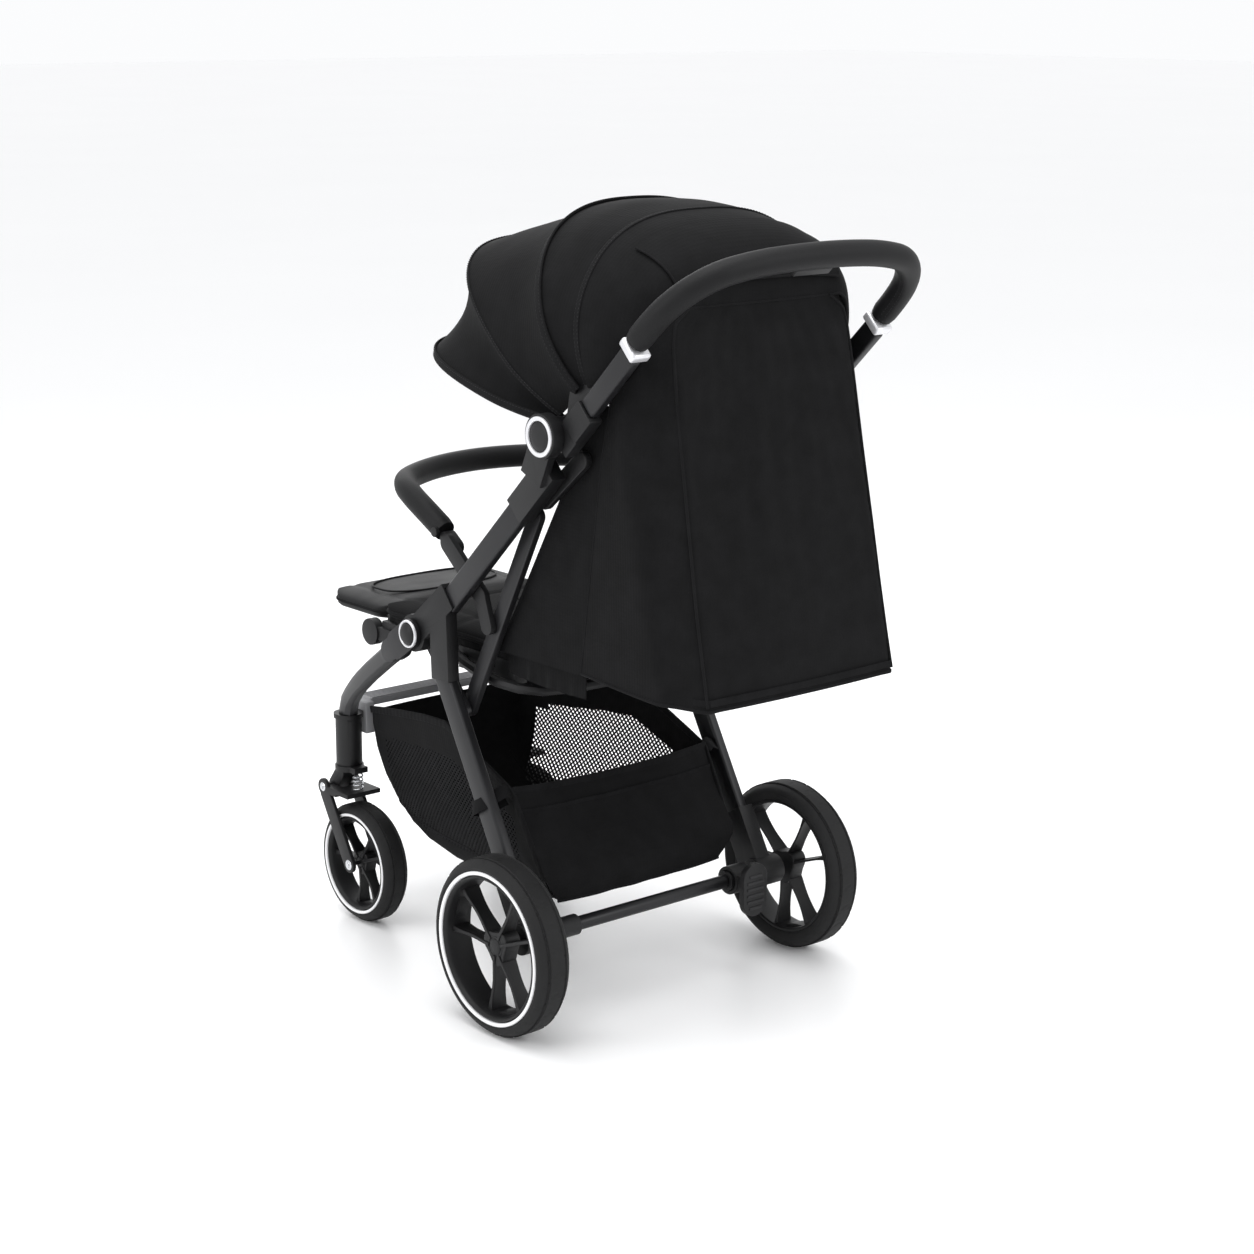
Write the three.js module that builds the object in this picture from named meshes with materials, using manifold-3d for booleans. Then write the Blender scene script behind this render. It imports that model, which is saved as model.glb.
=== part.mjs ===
// Baby stroller: a folding frame with a lie-flat seat, a hood, a basket and four wheels.
// Millimetres, +Z up, the front of the stroller is -Y and its left side is +X.
// The frame is drawn with the rear axle at y = 0; the whole group is then moved so that
// the origin lies on the floor under the middle of the stroller.
import * as THREE from 'three';
import { ConvexGeometry } from 'three/addons/geometries/ConvexGeometry.js';
import { mergeVertices } from 'three/addons/utils/BufferGeometryUtils.js';
import Module from 'manifold-3d';

const wasm = await Module();
wasm.setup();

// ---- driving dimensions ----
const AXLE_TO_MIDDLE = 131.9; // rear axle to the middle of the stroller's length
const GAP = 0.3; // clearance between pieces that touch

const REAR = { radius: 125, width: 54, x: 270, y: 0, rimRadius: 104, hub: 24, spokeDepth: 27 };
const FRONT = { radius: 92, width: 44, x: 159.5, y: -489, rimRadius: 75, hub: 17, spokeDepth: 22 };
const SPOKE_ANGLES = [21, 62, 139, 180, 263, 304]; // three pairs of radial spokes
const WHEEL_SIDES = 36; // facets round each tyre and rim
const BEAD = 4; // how far the tyre's bead reaches in from the rim's edge

const TUBE_IN = 206; // inner face of the side frame's flat tubes
const TUBE_OUT = 222; // their outer face
const TUBE_DEPTH = 34; // their size in side view

const LOW_PIVOT = { y: -260, z: 506 }; // where the front leg turns
const TOP_PIVOT = { y: 50, z: 829 }; // where the handle turns
const HANDLE_ANGLE = THREE.MathUtils.degToRad(44.2); // slope of the side tubes
const TUBE_MARK = { y: 4, z: 745 }; // top end of the main tube, on its centreline
const LEG_SLOPE = 0.57; // how far the rear leg goes back per unit down
const LEG_Y0 = 60; // where the rear leg's centreline would meet the floor

const CASTER = { x: 160, y: -525, sleeveRadius: 20, sleeveLow: 240, sleeveHigh: 321 };
const FORK_PIVOT = { y: -555, z: 201 };
const CRANK_PIN = { y: -172, z: 410 }; // lower end of the folding link
const LINK_JOINT = { y: -10, z: 722 }; // where the link and its lever meet
const LEVER_PIN = { y: 80, z: 797 }; // upper end of the lever, on the handle
const LINK_X = [186, 196];
const INNER_X = [197.5, 205.7]; // layer between the links and the side tubes

const GRIP_RADIUS = 18;
const GRIP_START = { y: 215, z: 967 };
const GRIP_HALF = [
  [215, 0],
  [213, 36],
  [206, 68],
  [190, 97],
  [165, 120],
  [134, 133],
  [80, 143],
  [0, 147],
];
const BUMPER_RADIUS = 17;

const SEAT_Z = 478; // underside of the seat board
const SEAT_HALF = 150;
const SEAT_FRONT = -430;
const SEAT_BACK = -62;
const BED_END = 282; // head end of the backrest when it lies flat

// each bow of the hood: where its plane passes, its angle from the rear, its height in that
// plane, its half width and how square its arch is
const BOWS = {
  rear: { y: 101, z: 869, angle: 93.8, height: 244, half: 226, power: 2.7 },
  middle: { y: 101, z: 869, angle: 122.9, height: 291, half: 236, power: 2.5 },
  front: { y: 55, z: 835, angle: 144, height: 374, half: 217, power: 3.2 },
  brim: { y: 55, z: 835, angle: 169, height: 388, half: 219, power: 3.6 },
};
const FOOT_RISE = 26; // how far from its pivot a bow starts
const FOOT_PINCH = 0.17; // how much narrower a bow is at its foot
const PINCH_HEIGHT = 150; // the bow has its full width above this
const CLOTH = 4; // thickness of a fabric wall's solid

// ---- materials ----
const finish = (color, roughness, metalness) => ({ color, roughness, metalness });
const TUBE = finish(0x38383c, 0.42, 0.6);
const PLASTIC = finish(0x1d1d1f, 0.55, 0.0);
const RUBBER = finish(0x1b1b1c, 0.85, 0.0);
const FABRIC = finish(0x1f1f20, 0.95, 0.0);
const LEATHER = finish(0x202023, 0.5, 0.0);
const SILVER = finish(0xd6d7da, 0.2, 1.0);
const STEEL = finish(0xb4b8bc, 0.3, 1.0);
const TREAD = finish(0x8f9094, 0.6, 0.0);
const MESH_CLOTH = finish(0x262627, 0.95, 0.0);

// ---- solids ----
// three.js geometry to a manifold-3d solid
function solid(geometry) {
  const plain = geometry.index ? geometry.clone() : geometry;
  plain.deleteAttribute('normal');
  plain.deleteAttribute('uv');
  const merged = mergeVertices(plain, 1e-3);
  return new wasm.Manifold(new wasm.Mesh({
    numProp: 3,
    vertProperties: new Float32Array(merged.attributes.position.array),
    triVerts: new Uint32Array(merged.index.array),
  }));
}

// manifold-3d solid back to a three.js geometry
function geometryOf(shape) {
  const mesh = shape.getMesh();
  const geometry = new THREE.BufferGeometry();
  geometry.setAttribute('position', new THREE.BufferAttribute(mesh.vertProperties, 3));
  geometry.setIndex(new THREE.BufferAttribute(mesh.triVerts, 1));
  geometry.computeVertexNormals();
  return geometry;
}

function join(...shapes) {
  return shapes.reduce((all, one) => all.add(one));
}

// the shape's x, y become y, z, and it is extruded along X from x0 to x1
function plate(shape, x0, x1, curveSegments = 8) {
  const geometry = new THREE.ExtrudeGeometry(shape, { depth: x1 - x0, bevelEnabled: false, curveSegments });
  const turn = new THREE.Matrix4().makeBasis(
    new THREE.Vector3(0, 1, 0),
    new THREE.Vector3(0, 0, 1),
    new THREE.Vector3(1, 0, 0),
  );
  geometry.applyMatrix4(turn);
  geometry.translate(x0, 0, 0);
  return solid(geometry);
}

function outline(points) {
  return new THREE.Shape(points.map(([u, v]) => new THREE.Vector2(u, v)));
}

// a disc or rod along X
function rodX(radius, x0, x1, y, z, sides = 24) {
  const geometry = new THREE.CylinderGeometry(radius, radius, x1 - x0, sides);
  geometry.rotateZ(Math.PI / 2);
  geometry.translate((x0 + x1) / 2, y, z);
  return solid(geometry);
}

// an upright rod
function rodZ(radius, z0, z1, x, y, sides = 24) {
  const geometry = new THREE.CylinderGeometry(radius, radius, z1 - z0, sides);
  geometry.rotateX(Math.PI / 2);
  geometry.translate(x, y, (z0 + z1) / 2);
  return solid(geometry);
}

function block(x0, x1, y0, y1, z0, z1) {
  const geometry = new THREE.BoxGeometry(x1 - x0, y1 - y0, z1 - z0);
  geometry.translate((x0 + x1) / 2, (y0 + y1) / 2, (z0 + z1) / 2);
  return solid(geometry);
}

// a bar of flat section between two points of the side view, from x0 to x1
function bar(from, to, width, x0, x1, roundEnds = false) {
  const angle = Math.atan2(to.z - from.z, to.y - from.y);
  const length = Math.hypot(to.y - from.y, to.z - from.z);
  const half = width / 2;
  const shape = new THREE.Shape();
  shape.moveTo(0, -half);
  shape.lineTo(length, -half);
  if (roundEnds) shape.absarc(length, 0, half, -Math.PI / 2, Math.PI / 2, false);
  shape.lineTo(length, half);
  shape.lineTo(0, half);
  if (roundEnds) shape.absarc(0, 0, half, Math.PI / 2, Math.PI * 1.5, false);
  const turned = plate(shape, x0, x1, 6).rotate([THREE.MathUtils.radToDeg(angle), 0, 0]);
  return turned.translate([0, from.y, from.z]);
}

// a tube of round or flat section along a smooth curve
function tube(points, radius, steps, sides = 12, flatten = 1) {
  const curve = new THREE.CatmullRomCurve3(points.map((p) => new THREE.Vector3(...p)));
  const section = new THREE.Shape();
  for (let i = 0; i < sides; i += 1) {
    const a = (i / sides) * Math.PI * 2;
    const at = [radius * Math.cos(a) * flatten, radius * Math.sin(a)];
    if (i === 0) section.moveTo(...at);
    else section.lineTo(...at);
  }
  return solid(new THREE.ExtrudeGeometry(section, { steps, extrudePath: curve }));
}

// a ring or disc turned about an axle along X, from [radius, x] points
function turned(profile, x, y, z, segments) {
  const geometry = new THREE.LatheGeometry(profile.map(([r, h]) => new THREE.Vector2(r, h)), segments);
  geometry.rotateZ(-Math.PI / 2);
  geometry.translate(x, y, z);
  return solid(geometry);
}

const hull = (points) => solid(new ConvexGeometry(points.map((p) => new THREE.Vector3(...p))));

// the same points on both sides of the middle plane
const bothSides = (points) => points.flatMap(([x, y, z]) => [[x, y, z], [-x, y, z]]);

// a place along the side tube's line: along it, and off it towards the front and top
function onTube(along, off = 0) {
  return {
    y: TUBE_MARK.y + along * Math.cos(HANDLE_ANGLE) - off * Math.sin(HANDLE_ANGLE),
    z: TUBE_MARK.z + along * Math.sin(HANDLE_ANGLE) + off * Math.cos(HANDLE_ANGLE),
  };
}

const onLeg = (z) => ({ y: LEG_Y0 - LEG_SLOPE * z, z });

// ---- the assembly ----
const stroller = new THREE.Group();
stroller.position.y = AXLE_TO_MIDDLE;

function add(name, shape, look, parent = stroller) {
  const mesh = new THREE.Mesh(geometryOf(shape), new THREE.MeshStandardMaterial(look));
  mesh.name = name;
  parent.add(mesh);
  return mesh;
}

// each side piece is drawn on the left, and its mirror image is the right one
function addPair(name, shape, look) {
  add(`${name}_left`, shape, look);
  add(`${name}_right`, shape.mirror([1, 0, 0]), look);
}

// ---- wheels ----
function tyre(wheel, axleZ) {
  const { radius, width, rimRadius } = wheel;
  const half = width / 2;
  const inner = rimRadius - BEAD + GAP;
  const profile = [
    [inner, -half + 7],
    [radius - 12, -half],
    [radius - 4, -half + 8],
    [radius, -half + 17],
    [radius, half - 17],
    [radius - 4, half - 8],
    [radius - 12, half],
    [inner, half - 7],
    [inner, -half + 7],
  ];
  return turned(profile, wheel.x, wheel.y, axleZ, WHEEL_SIDES);
}

function rim(wheel, axleZ) {
  const { width, rimRadius, hub } = wheel;
  const half = width / 2;
  const outer = rimRadius - BEAD;
  const barrel = turned([
    [outer - 5, -half + 9],
    [outer, -half + 9],
    [outer, half - 9],
    [outer - 5, half - 9],
    [outer - 5, -half + 9],
  ], wheel.x, wheel.y, axleZ, WHEEL_SIDES);
  const centre = turned([
    [0, -half + 3],
    [hub * 0.8, -half + 3],
    [hub, -half + 10],
    [hub * 0.8, half - 14],
    [hub * 0.6, half - 9],
    [0, half - 9],
  ], wheel.x, wheel.y, axleZ, 16);
  let body = join(barrel, centre);
  for (const degrees of SPOKE_ANGLES) {
    body = body.add(spoke(wheel, axleZ, degrees));
  }
  return body;
}

// a thin spoke, deep along the axle and a little thicker where it meets the rim
function spoke(wheel, axleZ, degrees) {
  const { rimRadius, hub, spokeDepth } = wheel;
  const reach = rimRadius - BEAD - 2;
  const flat = plate(outline([
    [hub * 0.6, -2.5],
    [reach - 12, -2.5],
    [reach, -5],
    [reach, 5],
    [reach - 12, 2.5],
    [hub * 0.6, 2.5],
  ]), -spokeDepth / 2 - 1, spokeDepth / 2 - 1);
  return flat.rotate([degrees, 0, 0]).translate([wheel.x, wheel.y, axleZ]);
}

addPair('rear_tyre', tyre(REAR, REAR.radius), RUBBER);
addPair('rear_rim', rim(REAR, REAR.radius), PLASTIC);
addPair('front_tyre', tyre(FRONT, FRONT.radius), RUBBER);
addPair('front_rim', rim(FRONT, FRONT.radius), PLASTIC);

// ---- rear frame ----
const COLLAR_X = 140; // where the axle housing's collar ends
const HOUSING_OUT = 240;
const COLLAR_RADIUS = 15;
const LEG_TOP_Z = 462;
const LEG_LOW_Z = 152;

const rearLeg = bar(onLeg(LEG_LOW_Z), onLeg(LEG_TOP_Z), TUBE_DEPTH, TUBE_IN, TUBE_OUT);
addPair('rear_leg', rearLeg, TUBE);

function axleHousing() {
  const axle = { y: REAR.y, z: REAR.radius };
  const barrel = rodX(22, TUBE_IN - 10, HOUSING_OUT, axle.y, axle.z);
  const collar = rodX(COLLAR_RADIUS, COLLAR_X, TUBE_IN - 5, axle.y, axle.z, 20);
  const socket = bar(onLeg(118), onLeg(206), TUBE_DEPTH + 10, TUBE_IN - 5, TUBE_OUT + 5);
  const slot = bar(onLeg(LEG_LOW_Z - GAP), onLeg(260), TUBE_DEPTH + 2 * GAP, TUBE_IN - GAP, TUBE_OUT + GAP);
  return join(barrel, collar, socket).subtract(slot);
}
addPair('rear_axle_housing', axleHousing(), PLASTIC);

add('rear_crossbar', rodX(10, -COLLAR_X + GAP, COLLAR_X - GAP, REAR.y, REAR.radius, 20), TUBE);

// the pedal turns about the right-hand collar and its pad faces the rear
function brakePedal() {
  const low = -179;
  const high = -131;
  const pad = new THREE.Shape();
  const radius = 23;
  pad.absarc(0, 162 - radius, radius, 0, Math.PI, false);
  pad.absarc(0, 82 + radius, radius, Math.PI, Math.PI * 2, false);
  const face = new THREE.ExtrudeGeometry(pad, { depth: 10, bevelEnabled: false, curveSegments: 8 });
  face.rotateX(Math.PI / 2);
  face.translate((low + high) / 2, 50, 0);
  const hub = rodX(21, low + 1, high - 14, REAR.y, REAR.radius);
  const arm = block(low + 6, high - 16, 14, 42, REAR.radius - 12, REAR.radius + 12);
  const bore = rodX(COLLAR_RADIUS + 0.6, low - 5, high + 5, REAR.y, REAR.radius, 20);
  return join(solid(face), hub, arm).subtract(bore);
}
add('brake_pedal', brakePedal(), PLASTIC);

// ---- side frame: main tube, lower hinge and upper hinge ----
const MAIN_LOW = -262;
const mainTube = bar(onTube(MAIN_LOW), onTube(-6), TUBE_DEPTH, TUBE_IN, TUBE_OUT);
addPair('main_tube', mainTube, TUBE);

const PIN_RADIUS = 6;
const BOSS_RADIUS = 27;

function lowerHinge() {
  const boss = rodX(BOSS_RADIUS, TUBE_IN, TUBE_OUT + 3, LOW_PIVOT.y, LOW_PIVOT.z, 28);
  const toTube = bar(LOW_PIVOT, onTube(MAIN_LOW + 12, 4), TUBE_DEPTH + 6, TUBE_IN, TUBE_OUT + 3);
  const toLeg = bar(onTube(MAIN_LOW - 20, 4), onLeg(LEG_TOP_Z - 12), TUBE_DEPTH + 6, TUBE_IN, TUBE_OUT + 3);
  const tubeRoom = bar(onTube(MAIN_LOW - GAP), onTube(0), TUBE_DEPTH + 2 * GAP, TUBE_IN - 5, TUBE_OUT + GAP);
  const legRoom = bar(onLeg(0), onLeg(LEG_TOP_Z + GAP), TUBE_DEPTH + 2 * GAP, TUBE_IN - 5, TUBE_OUT + GAP);
  const bore = rodX(PIN_RADIUS + 0.3, TUBE_IN - 9, TUBE_OUT + 9, LOW_PIVOT.y, LOW_PIVOT.z, 16);
  return join(boss, toTube, toLeg).subtract(tubeRoom).subtract(legRoom).subtract(bore);
}
addPair('lower_hinge', lowerHinge(), PLASTIC);

const RING_RADIUS = 30;
const HUB_RADIUS = 24;

function upperHinge() {
  const sleeve = bar(onTube(-40), onTube(58), TUBE_DEPTH + 5, TUBE_IN - 3, TUBE_OUT + 4);
  const room = bar(onTube(-60), onTube(-6 + GAP), TUBE_DEPTH + 2 * GAP, TUBE_IN - GAP, TUBE_OUT + GAP);
  const neck = bar(onTube(30, 4), { y: TOP_PIVOT.y, z: TOP_PIVOT.z }, 44, TUBE_OUT + GAP, TUBE_OUT + 12);
  const disc = rodX(RING_RADIUS, TUBE_OUT + GAP, TUBE_OUT + 18, TOP_PIVOT.y, TOP_PIVOT.z, 36);
  const pin = rodX(PIN_RADIUS, TUBE_IN - 2, TUBE_OUT + 5, TOP_PIVOT.y, TOP_PIVOT.z, 16);
  return join(sleeve, neck, disc, pin).subtract(room);
}
addPair('upper_hinge', upperHinge(), PLASTIC);

// ---- handle ----
const SLEEVE_END = 172;
const COLLAR_START = 288;
const COLLAR_END = 302;

function handleJoint() {
  const hub = rodX(HUB_RADIUS, TUBE_IN - 2, TUBE_OUT - GAP, TOP_PIVOT.y, TOP_PIVOT.z, 28);
  const arm = bar(onTube(96, 6), onTube(SLEEVE_END, 6), TUBE_DEPTH + 2, TUBE_IN - 2, TUBE_OUT - GAP);
  const cover = bar(onTube(128, 6), onTube(SLEEVE_END, 6), TUBE_DEPTH + 2, TUBE_OUT - 2, TUBE_OUT + 3);
  const bore = rodX(PIN_RADIUS + 0.3, TUBE_IN - 9, TUBE_OUT + 9, TOP_PIVOT.y, TOP_PIVOT.z, 16);
  return join(hub, arm, cover).subtract(bore);
}
addPair('handle_joint', handleJoint(), PLASTIC);

const handleTube = bar(
  onTube(SLEEVE_END + GAP, 8),
  onTube(COLLAR_START - GAP, 8),
  29,
  TUBE_IN,
  TUBE_OUT,
);
addPair('handle_tube', handleTube, TUBE);

const collarBand = bar(onTube(COLLAR_START, 9), onTube(COLLAR_END, 9), 34, TUBE_IN - 8, TUBE_OUT + 6);
addPair('handle_collar', collarBand, SILVER);

// the grip lies in the sloping plane of the handle: sideways, and up the slope
function gripPoint([x, up]) {
  return [
    x,
    GRIP_START.y + up * Math.cos(HANDLE_ANGLE),
    GRIP_START.z + up * Math.sin(HANDLE_ANGLE),
  ];
}

function grip() {
  const left = GRIP_HALF.map(gripPoint);
  const right = left.slice(0, -1).reverse().map(([x, y, z]) => [-x, y, z]);
  return tube([...left, ...right], GRIP_RADIUS, 30, 10);
}
add('handle_grip', grip(), LEATHER);

// the lever that is squeezed against the grip to unlock the fold
const LEVER_UP = 118; // middle of the lever, up the slope from the grip's start
function releaseLever() {
  const [, y, z] = gripPoint([0, LEVER_UP]);
  const geometry = new THREE.BoxGeometry(64, 13, 9);
  geometry.rotateX(HANDLE_ANGLE);
  geometry.translate(0, y, z);
  return solid(geometry);
}
add('release_lever', releaseLever(), PLASTIC);

// ---- folding links ----
function shorten(from, to, start, end) {
  const length = Math.hypot(to.y - from.y, to.z - from.z);
  const at = (d) => ({ y: from.y + ((to.y - from.y) * d) / length, z: from.z + ((to.z - from.z) * d) / length });
  return [at(start), at(length - end)];
}
const [linkLow, linkHigh] = shorten(CRANK_PIN, LINK_JOINT, 0, 16);
const [leverLow, leverHigh] = shorten(LINK_JOINT, LEVER_PIN, 16, 0);
const linkBody = join(
  bar(linkLow, linkHigh, 24, ...LINK_X, true),
  rodX(5, INNER_X[0] - 3, INNER_X[1], CRANK_PIN.y, CRANK_PIN.z, 12),
);
addPair('fold_link', linkBody, TUBE);
addPair('fold_lever', bar(leverLow, leverHigh, 24, ...LINK_X, true), PLASTIC);

// ---- front legs, with the cranks that the links push ----
const LEG_PATH = [
  [217, -299, 479],
  [210, -345, 452],
  [196, -412, 412],
  [179, -475, 371],
  [166, -514, 336],
  [161, -524, 303],
];

function frontLeg() {
  const legTube = tube(LEG_PATH, 15.5, 12, 10, 0.9);
  const ear = bar(LOW_PIVOT, { y: -292, z: 484 }, 42, TUBE_OUT + 4, TUBE_OUT + 11, true);
  const knee = bar({ y: -300, z: 478 }, { y: -312, z: 471 }, 33, TUBE_IN + 4, TUBE_OUT + 11, true);
  const pin = rodX(PIN_RADIUS, INNER_X[0], TUBE_OUT + 10, LOW_PIVOT.y, LOW_PIVOT.z, 16);
  const crank = bar(LOW_PIVOT, CRANK_PIN, 24, ...INNER_X, true);
  const pinHole = rodX(5.4, INNER_X[0] - 4, INNER_X[1] + 2, CRANK_PIN.y, CRANK_PIN.z, 12);
  return join(legTube, ear, knee, pin, crank.subtract(pinHole));
}
addPair('front_leg', frontLeg(), TUBE);

function frontSleeve() {
  const { x, y, sleeveRadius, sleeveLow, sleeveHigh } = CASTER;
  const wall = rodZ(sleeveRadius, sleeveLow, sleeveHigh, x, y, 28);
  const lip = rodZ(sleeveRadius + 2.5, sleeveHigh - 7, sleeveHigh, x, y, 28);
  const room = tube(LEG_PATH, 16.2, 12, 10, 0.92);
  return join(wall, lip).subtract(room);
}
addPair('front_sleeve', frontSleeve(), PLASTIC);

function footboard() {
  const half = CASTER.x - CASTER.sleeveRadius - 3;
  const board = block(-half + 12, half - 12, -553, -517, 326, 338);
  const leftLug = block(half - 16, half, -545, -511, 285, 334);
  return join(board, leftLug, leftLug.mirror([1, 0, 0]));
}
add('footboard', footboard(), TREAD);

// ---- casters ----
function casterHousing() {
  const { x, y, sleeveLow } = CASTER;
  const top = rodZ(22, 231, sleeveLow - GAP, x, y, 28);
  const tail = block(x - 12, x + 12, y, y + 32, 231, sleeveLow - GAP);
  const nose = bar({ y: y - 12, z: 224 }, FORK_PIVOT, 22, x - 11, x + 11, true);
  const bore = rodX(4.4, x - 20, x + 20, FORK_PIVOT.y, FORK_PIVOT.z, 12);
  return join(top, tail, nose.subtract(bore));
}
addPair('caster_housing', casterHousing(), PLASTIC);

const PRONG_IN = 24.5; // from the wheel's middle to the prong
const PRONG_OUT = 30.5;

function casterFork() {
  const { x } = FRONT;
  const axle = { y: FRONT.y, z: FRONT.radius };
  const prongs = [[x - PRONG_OUT, x - PRONG_IN], [x + PRONG_IN, x + PRONG_OUT]].map(([x0, x1]) => join(
    bar({ y: -550, z: 192 }, axle, 25, x0, x1, true),
    rodX(13, x0, x1, FORK_PIVOT.y, FORK_PIVOT.z, 16),
  ));
  const seat = block(x - PRONG_OUT, x + PRONG_OUT, -530, -488, 196, 203);
  const cheeks = [x - PRONG_OUT, x + 12].map((x0) => block(x0, x0 + 18.5, -562, -520, 192, 203));
  const bolt = rodX(4, x - PRONG_OUT, x + PRONG_OUT, FORK_PIVOT.y, FORK_PIVOT.z, 12);
  const axleBolt = rodX(3, x - PRONG_OUT, x + PRONG_OUT, axle.y, axle.z, 10);
  const wheelRoom = rodX(FRONT.radius + 4, x - 23, x + 23, axle.y, axle.z, 24);
  return join(...prongs, join(seat, ...cheeks).subtract(wheelRoom), bolt, axleBolt);
}

// the rim turns on the axle bolt
const fork = casterFork();
const axleRoom = rodX(3.4, FRONT.x - 40, FRONT.x + 40, FRONT.y, FRONT.radius, 10);
for (const side of ['left', 'right']) {
  const wheel = stroller.getObjectByName(`front_rim_${side}`);
  const hole = side === 'left' ? axleRoom : axleRoom.mirror([1, 0, 0]);
  wheel.geometry = geometryOf(solid(wheel.geometry).subtract(hole));
}
addPair('caster_fork', fork, PLASTIC);

function casterSpring() {
  const turns = 4;
  const low = 203 + GAP;
  const pitch = (231 - GAP - low) / turns;
  const profile = [new THREE.Vector2(0, low)];
  for (let i = 0; i < turns; i += 1) {
    profile.push(new THREE.Vector2(6.5, low + i * pitch));
    profile.push(new THREE.Vector2(8.5, low + (i + 0.5) * pitch));
  }
  profile.push(new THREE.Vector2(6.5, low + turns * pitch), new THREE.Vector2(0, low + turns * pitch));
  const geometry = new THREE.LatheGeometry(profile, 14);
  geometry.rotateX(Math.PI / 2);
  geometry.translate(CASTER.x, -503, 0);
  return solid(geometry);
}
addPair('caster_spring', casterSpring(), STEEL);

// ---- bumper bar ----
const BUMPER_ADAPTER = { y: -205, z: 642 };
const BUMPER_HALF = [
  [194, -222, 655],
  [195, -262, 676],
  [190, -304, 692],
  [176, -340, 700],
  [148, -370, 704],
  [80, -400, 707],
  [0, -412, 708],
];

function bumperBracket() {
  const low = { y: -114, z: 540 };
  const middle = { y: -128, z: 580 };
  const arm = join(
    bar(low, middle, 24, ...INNER_X, true),
    bar(middle, BUMPER_ADAPTER, 26, ...INNER_X, true),
  );
  const plug = bar({ y: -196, z: 637 }, { y: -212, z: 648 }, 18, 187, 204, true);
  return join(arm, plug);
}
addPair('bumper_bracket', bumperBracket(), PLASTIC);

function bumperBar() {
  const right = BUMPER_HALF.slice(0, -1).reverse().map(([x, y, z]) => [-x, y, z]);
  return tube([...BUMPER_HALF, ...right], BUMPER_RADIUS, 28, 10);
}
const plugRoom = bar({ y: -190, z: 631 }, { y: -218, z: 652 }, 20, 184, 208, true);
const buttonRoom = rodX(7.5, 205.5, 216, -222, 656, 16);
const barRooms = join(plugRoom, buttonRoom);
add('bumper_bar', bumperBar().subtract(barRooms).subtract(barRooms.mirror([1, 0, 0])), LEATHER);

const bumperButton = rodX(7, 208.5, 214.5, -222, 656, 16);
addPair('bumper_button', bumperButton, PLASTIC);

// ---- seat, backrest and footrest ----
function seatBase() {
  const board = block(-SEAT_HALF, SEAT_HALF, SEAT_FRONT, SEAT_BACK, SEAT_Z, SEAT_Z + 12);
  const left = [[168, -235, 470], [172, -180, 458], [168, -120, 450], [145, -78, 446], [80, -62, 445], [0, -60, 445]];
  const right = left.slice(0, -1).reverse().map(([x, y, z]) => [-x, y, z]);
  const crossTube = tube([...left, ...right], 8, 18, 8);
  const hangers = [-160, 138].map((x) => block(x, x + 22, -240, -110, 450, SEAT_Z + 4));
  const hubs = [-168, 154].map((x) => rodX(20, x, x + 14, -452, 462, 20));
  const hubArms = [-165, 155].map((x) => block(x, x + 10, -452, -380, 452, 472));
  const arms = [-160, 146].map((x) => block(x, x + 14, -430, -380, 455, SEAT_Z + 4));
  return join(board, crossTube, ...hangers, ...hubs, ...hubArms, ...arms);
}
add('seat_base', seatBase(), PLASTIC);

function cushion(half, y0, y1, z0, z1, corner) {
  const shape = new THREE.Shape();
  shape.moveTo(-half + corner, y0);
  shape.lineTo(half - corner, y0);
  shape.lineTo(half, y0 + corner);
  shape.lineTo(half, y1 - corner);
  shape.lineTo(half - corner, y1);
  shape.lineTo(-half + corner, y1);
  shape.lineTo(-half, y1 - corner);
  shape.lineTo(-half, y0 + corner);
  const geometry = new THREE.ExtrudeGeometry(shape, { depth: z1 - z0, bevelEnabled: false });
  geometry.translate(0, 0, z0);
  return solid(geometry);
}
add('seat_pad', cushion(165, SEAT_FRONT, SEAT_BACK - 1, SEAT_Z + 12 + GAP, 518, 18), FABRIC);
add('harness_buckle', cushion(22, -262, -214, 518 + GAP, 532, 8), PLASTIC);
const BED_Z = 503; // underside of the lying backrest
add('backrest_board', block(-150, 150, SEAT_BACK + 3, BED_END, BED_Z, BED_Z + 10), PLASTIC);
add('backrest_pad', cushion(150, SEAT_BACK + 3, BED_END, BED_Z + 10 + GAP, 532, 14), FABRIC);

function footrest() {
  const pad = cushion(152, -602, SEAT_FRONT - 4, 474, 508, 34);
  const toeCut = hull(bothSides([[170, -605, 474], [170, -540, 474], [170, -605, 494]]));
  const hubRoom = [-172, 150].map((x) => rodX(22, x, x + 22, -452, 462, 20));
  return pad.subtract(toeCut).subtract(hubRoom[0]).subtract(hubRoom[1]);
}
add('footrest', footrest(), LEATHER);

// ---- fabric shells ----
// the back cover hangs from the hood's rear edge down to the head end of the lying seat
function backCover() {
  const inset = CLOTH;
  const rear = (grow) => [
    [150 + grow, 206 + grow, 985],
    [176 + grow, 190 + grow, 935],
    [192 + grow, 160, 860],
    [192 + grow, 190, 700],
    [165 + grow, 299 + grow, 502],
    [189 + grow, 266, 502],
    [191 + grow, 212, 502],
    [178 + grow, 60, 502],
    [178 + grow, 110, 800],
    [120 + grow, 207 + grow, 996],
    [190 + grow, 214, 560],
    [163 + grow, 276 + grow, 620],
  ];
  const open = [
    [150 - inset, 60, 1100],
    [150 - inset, 178, 1100],
    [156, -60, 400],
    [156, -60, 900],
    [165 - inset, 304 - inset, 440],
    [189 - inset, 266, 440],
    [190 - inset, 212, 440],
  ];
  const outer = hull(bothSides(rear(0)));
  const inner = hull(bothSides([...rear(-inset), ...open]));
  return outer.subtract(inner);
}
add('back_cover', backCover(), FABRIC);

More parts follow.
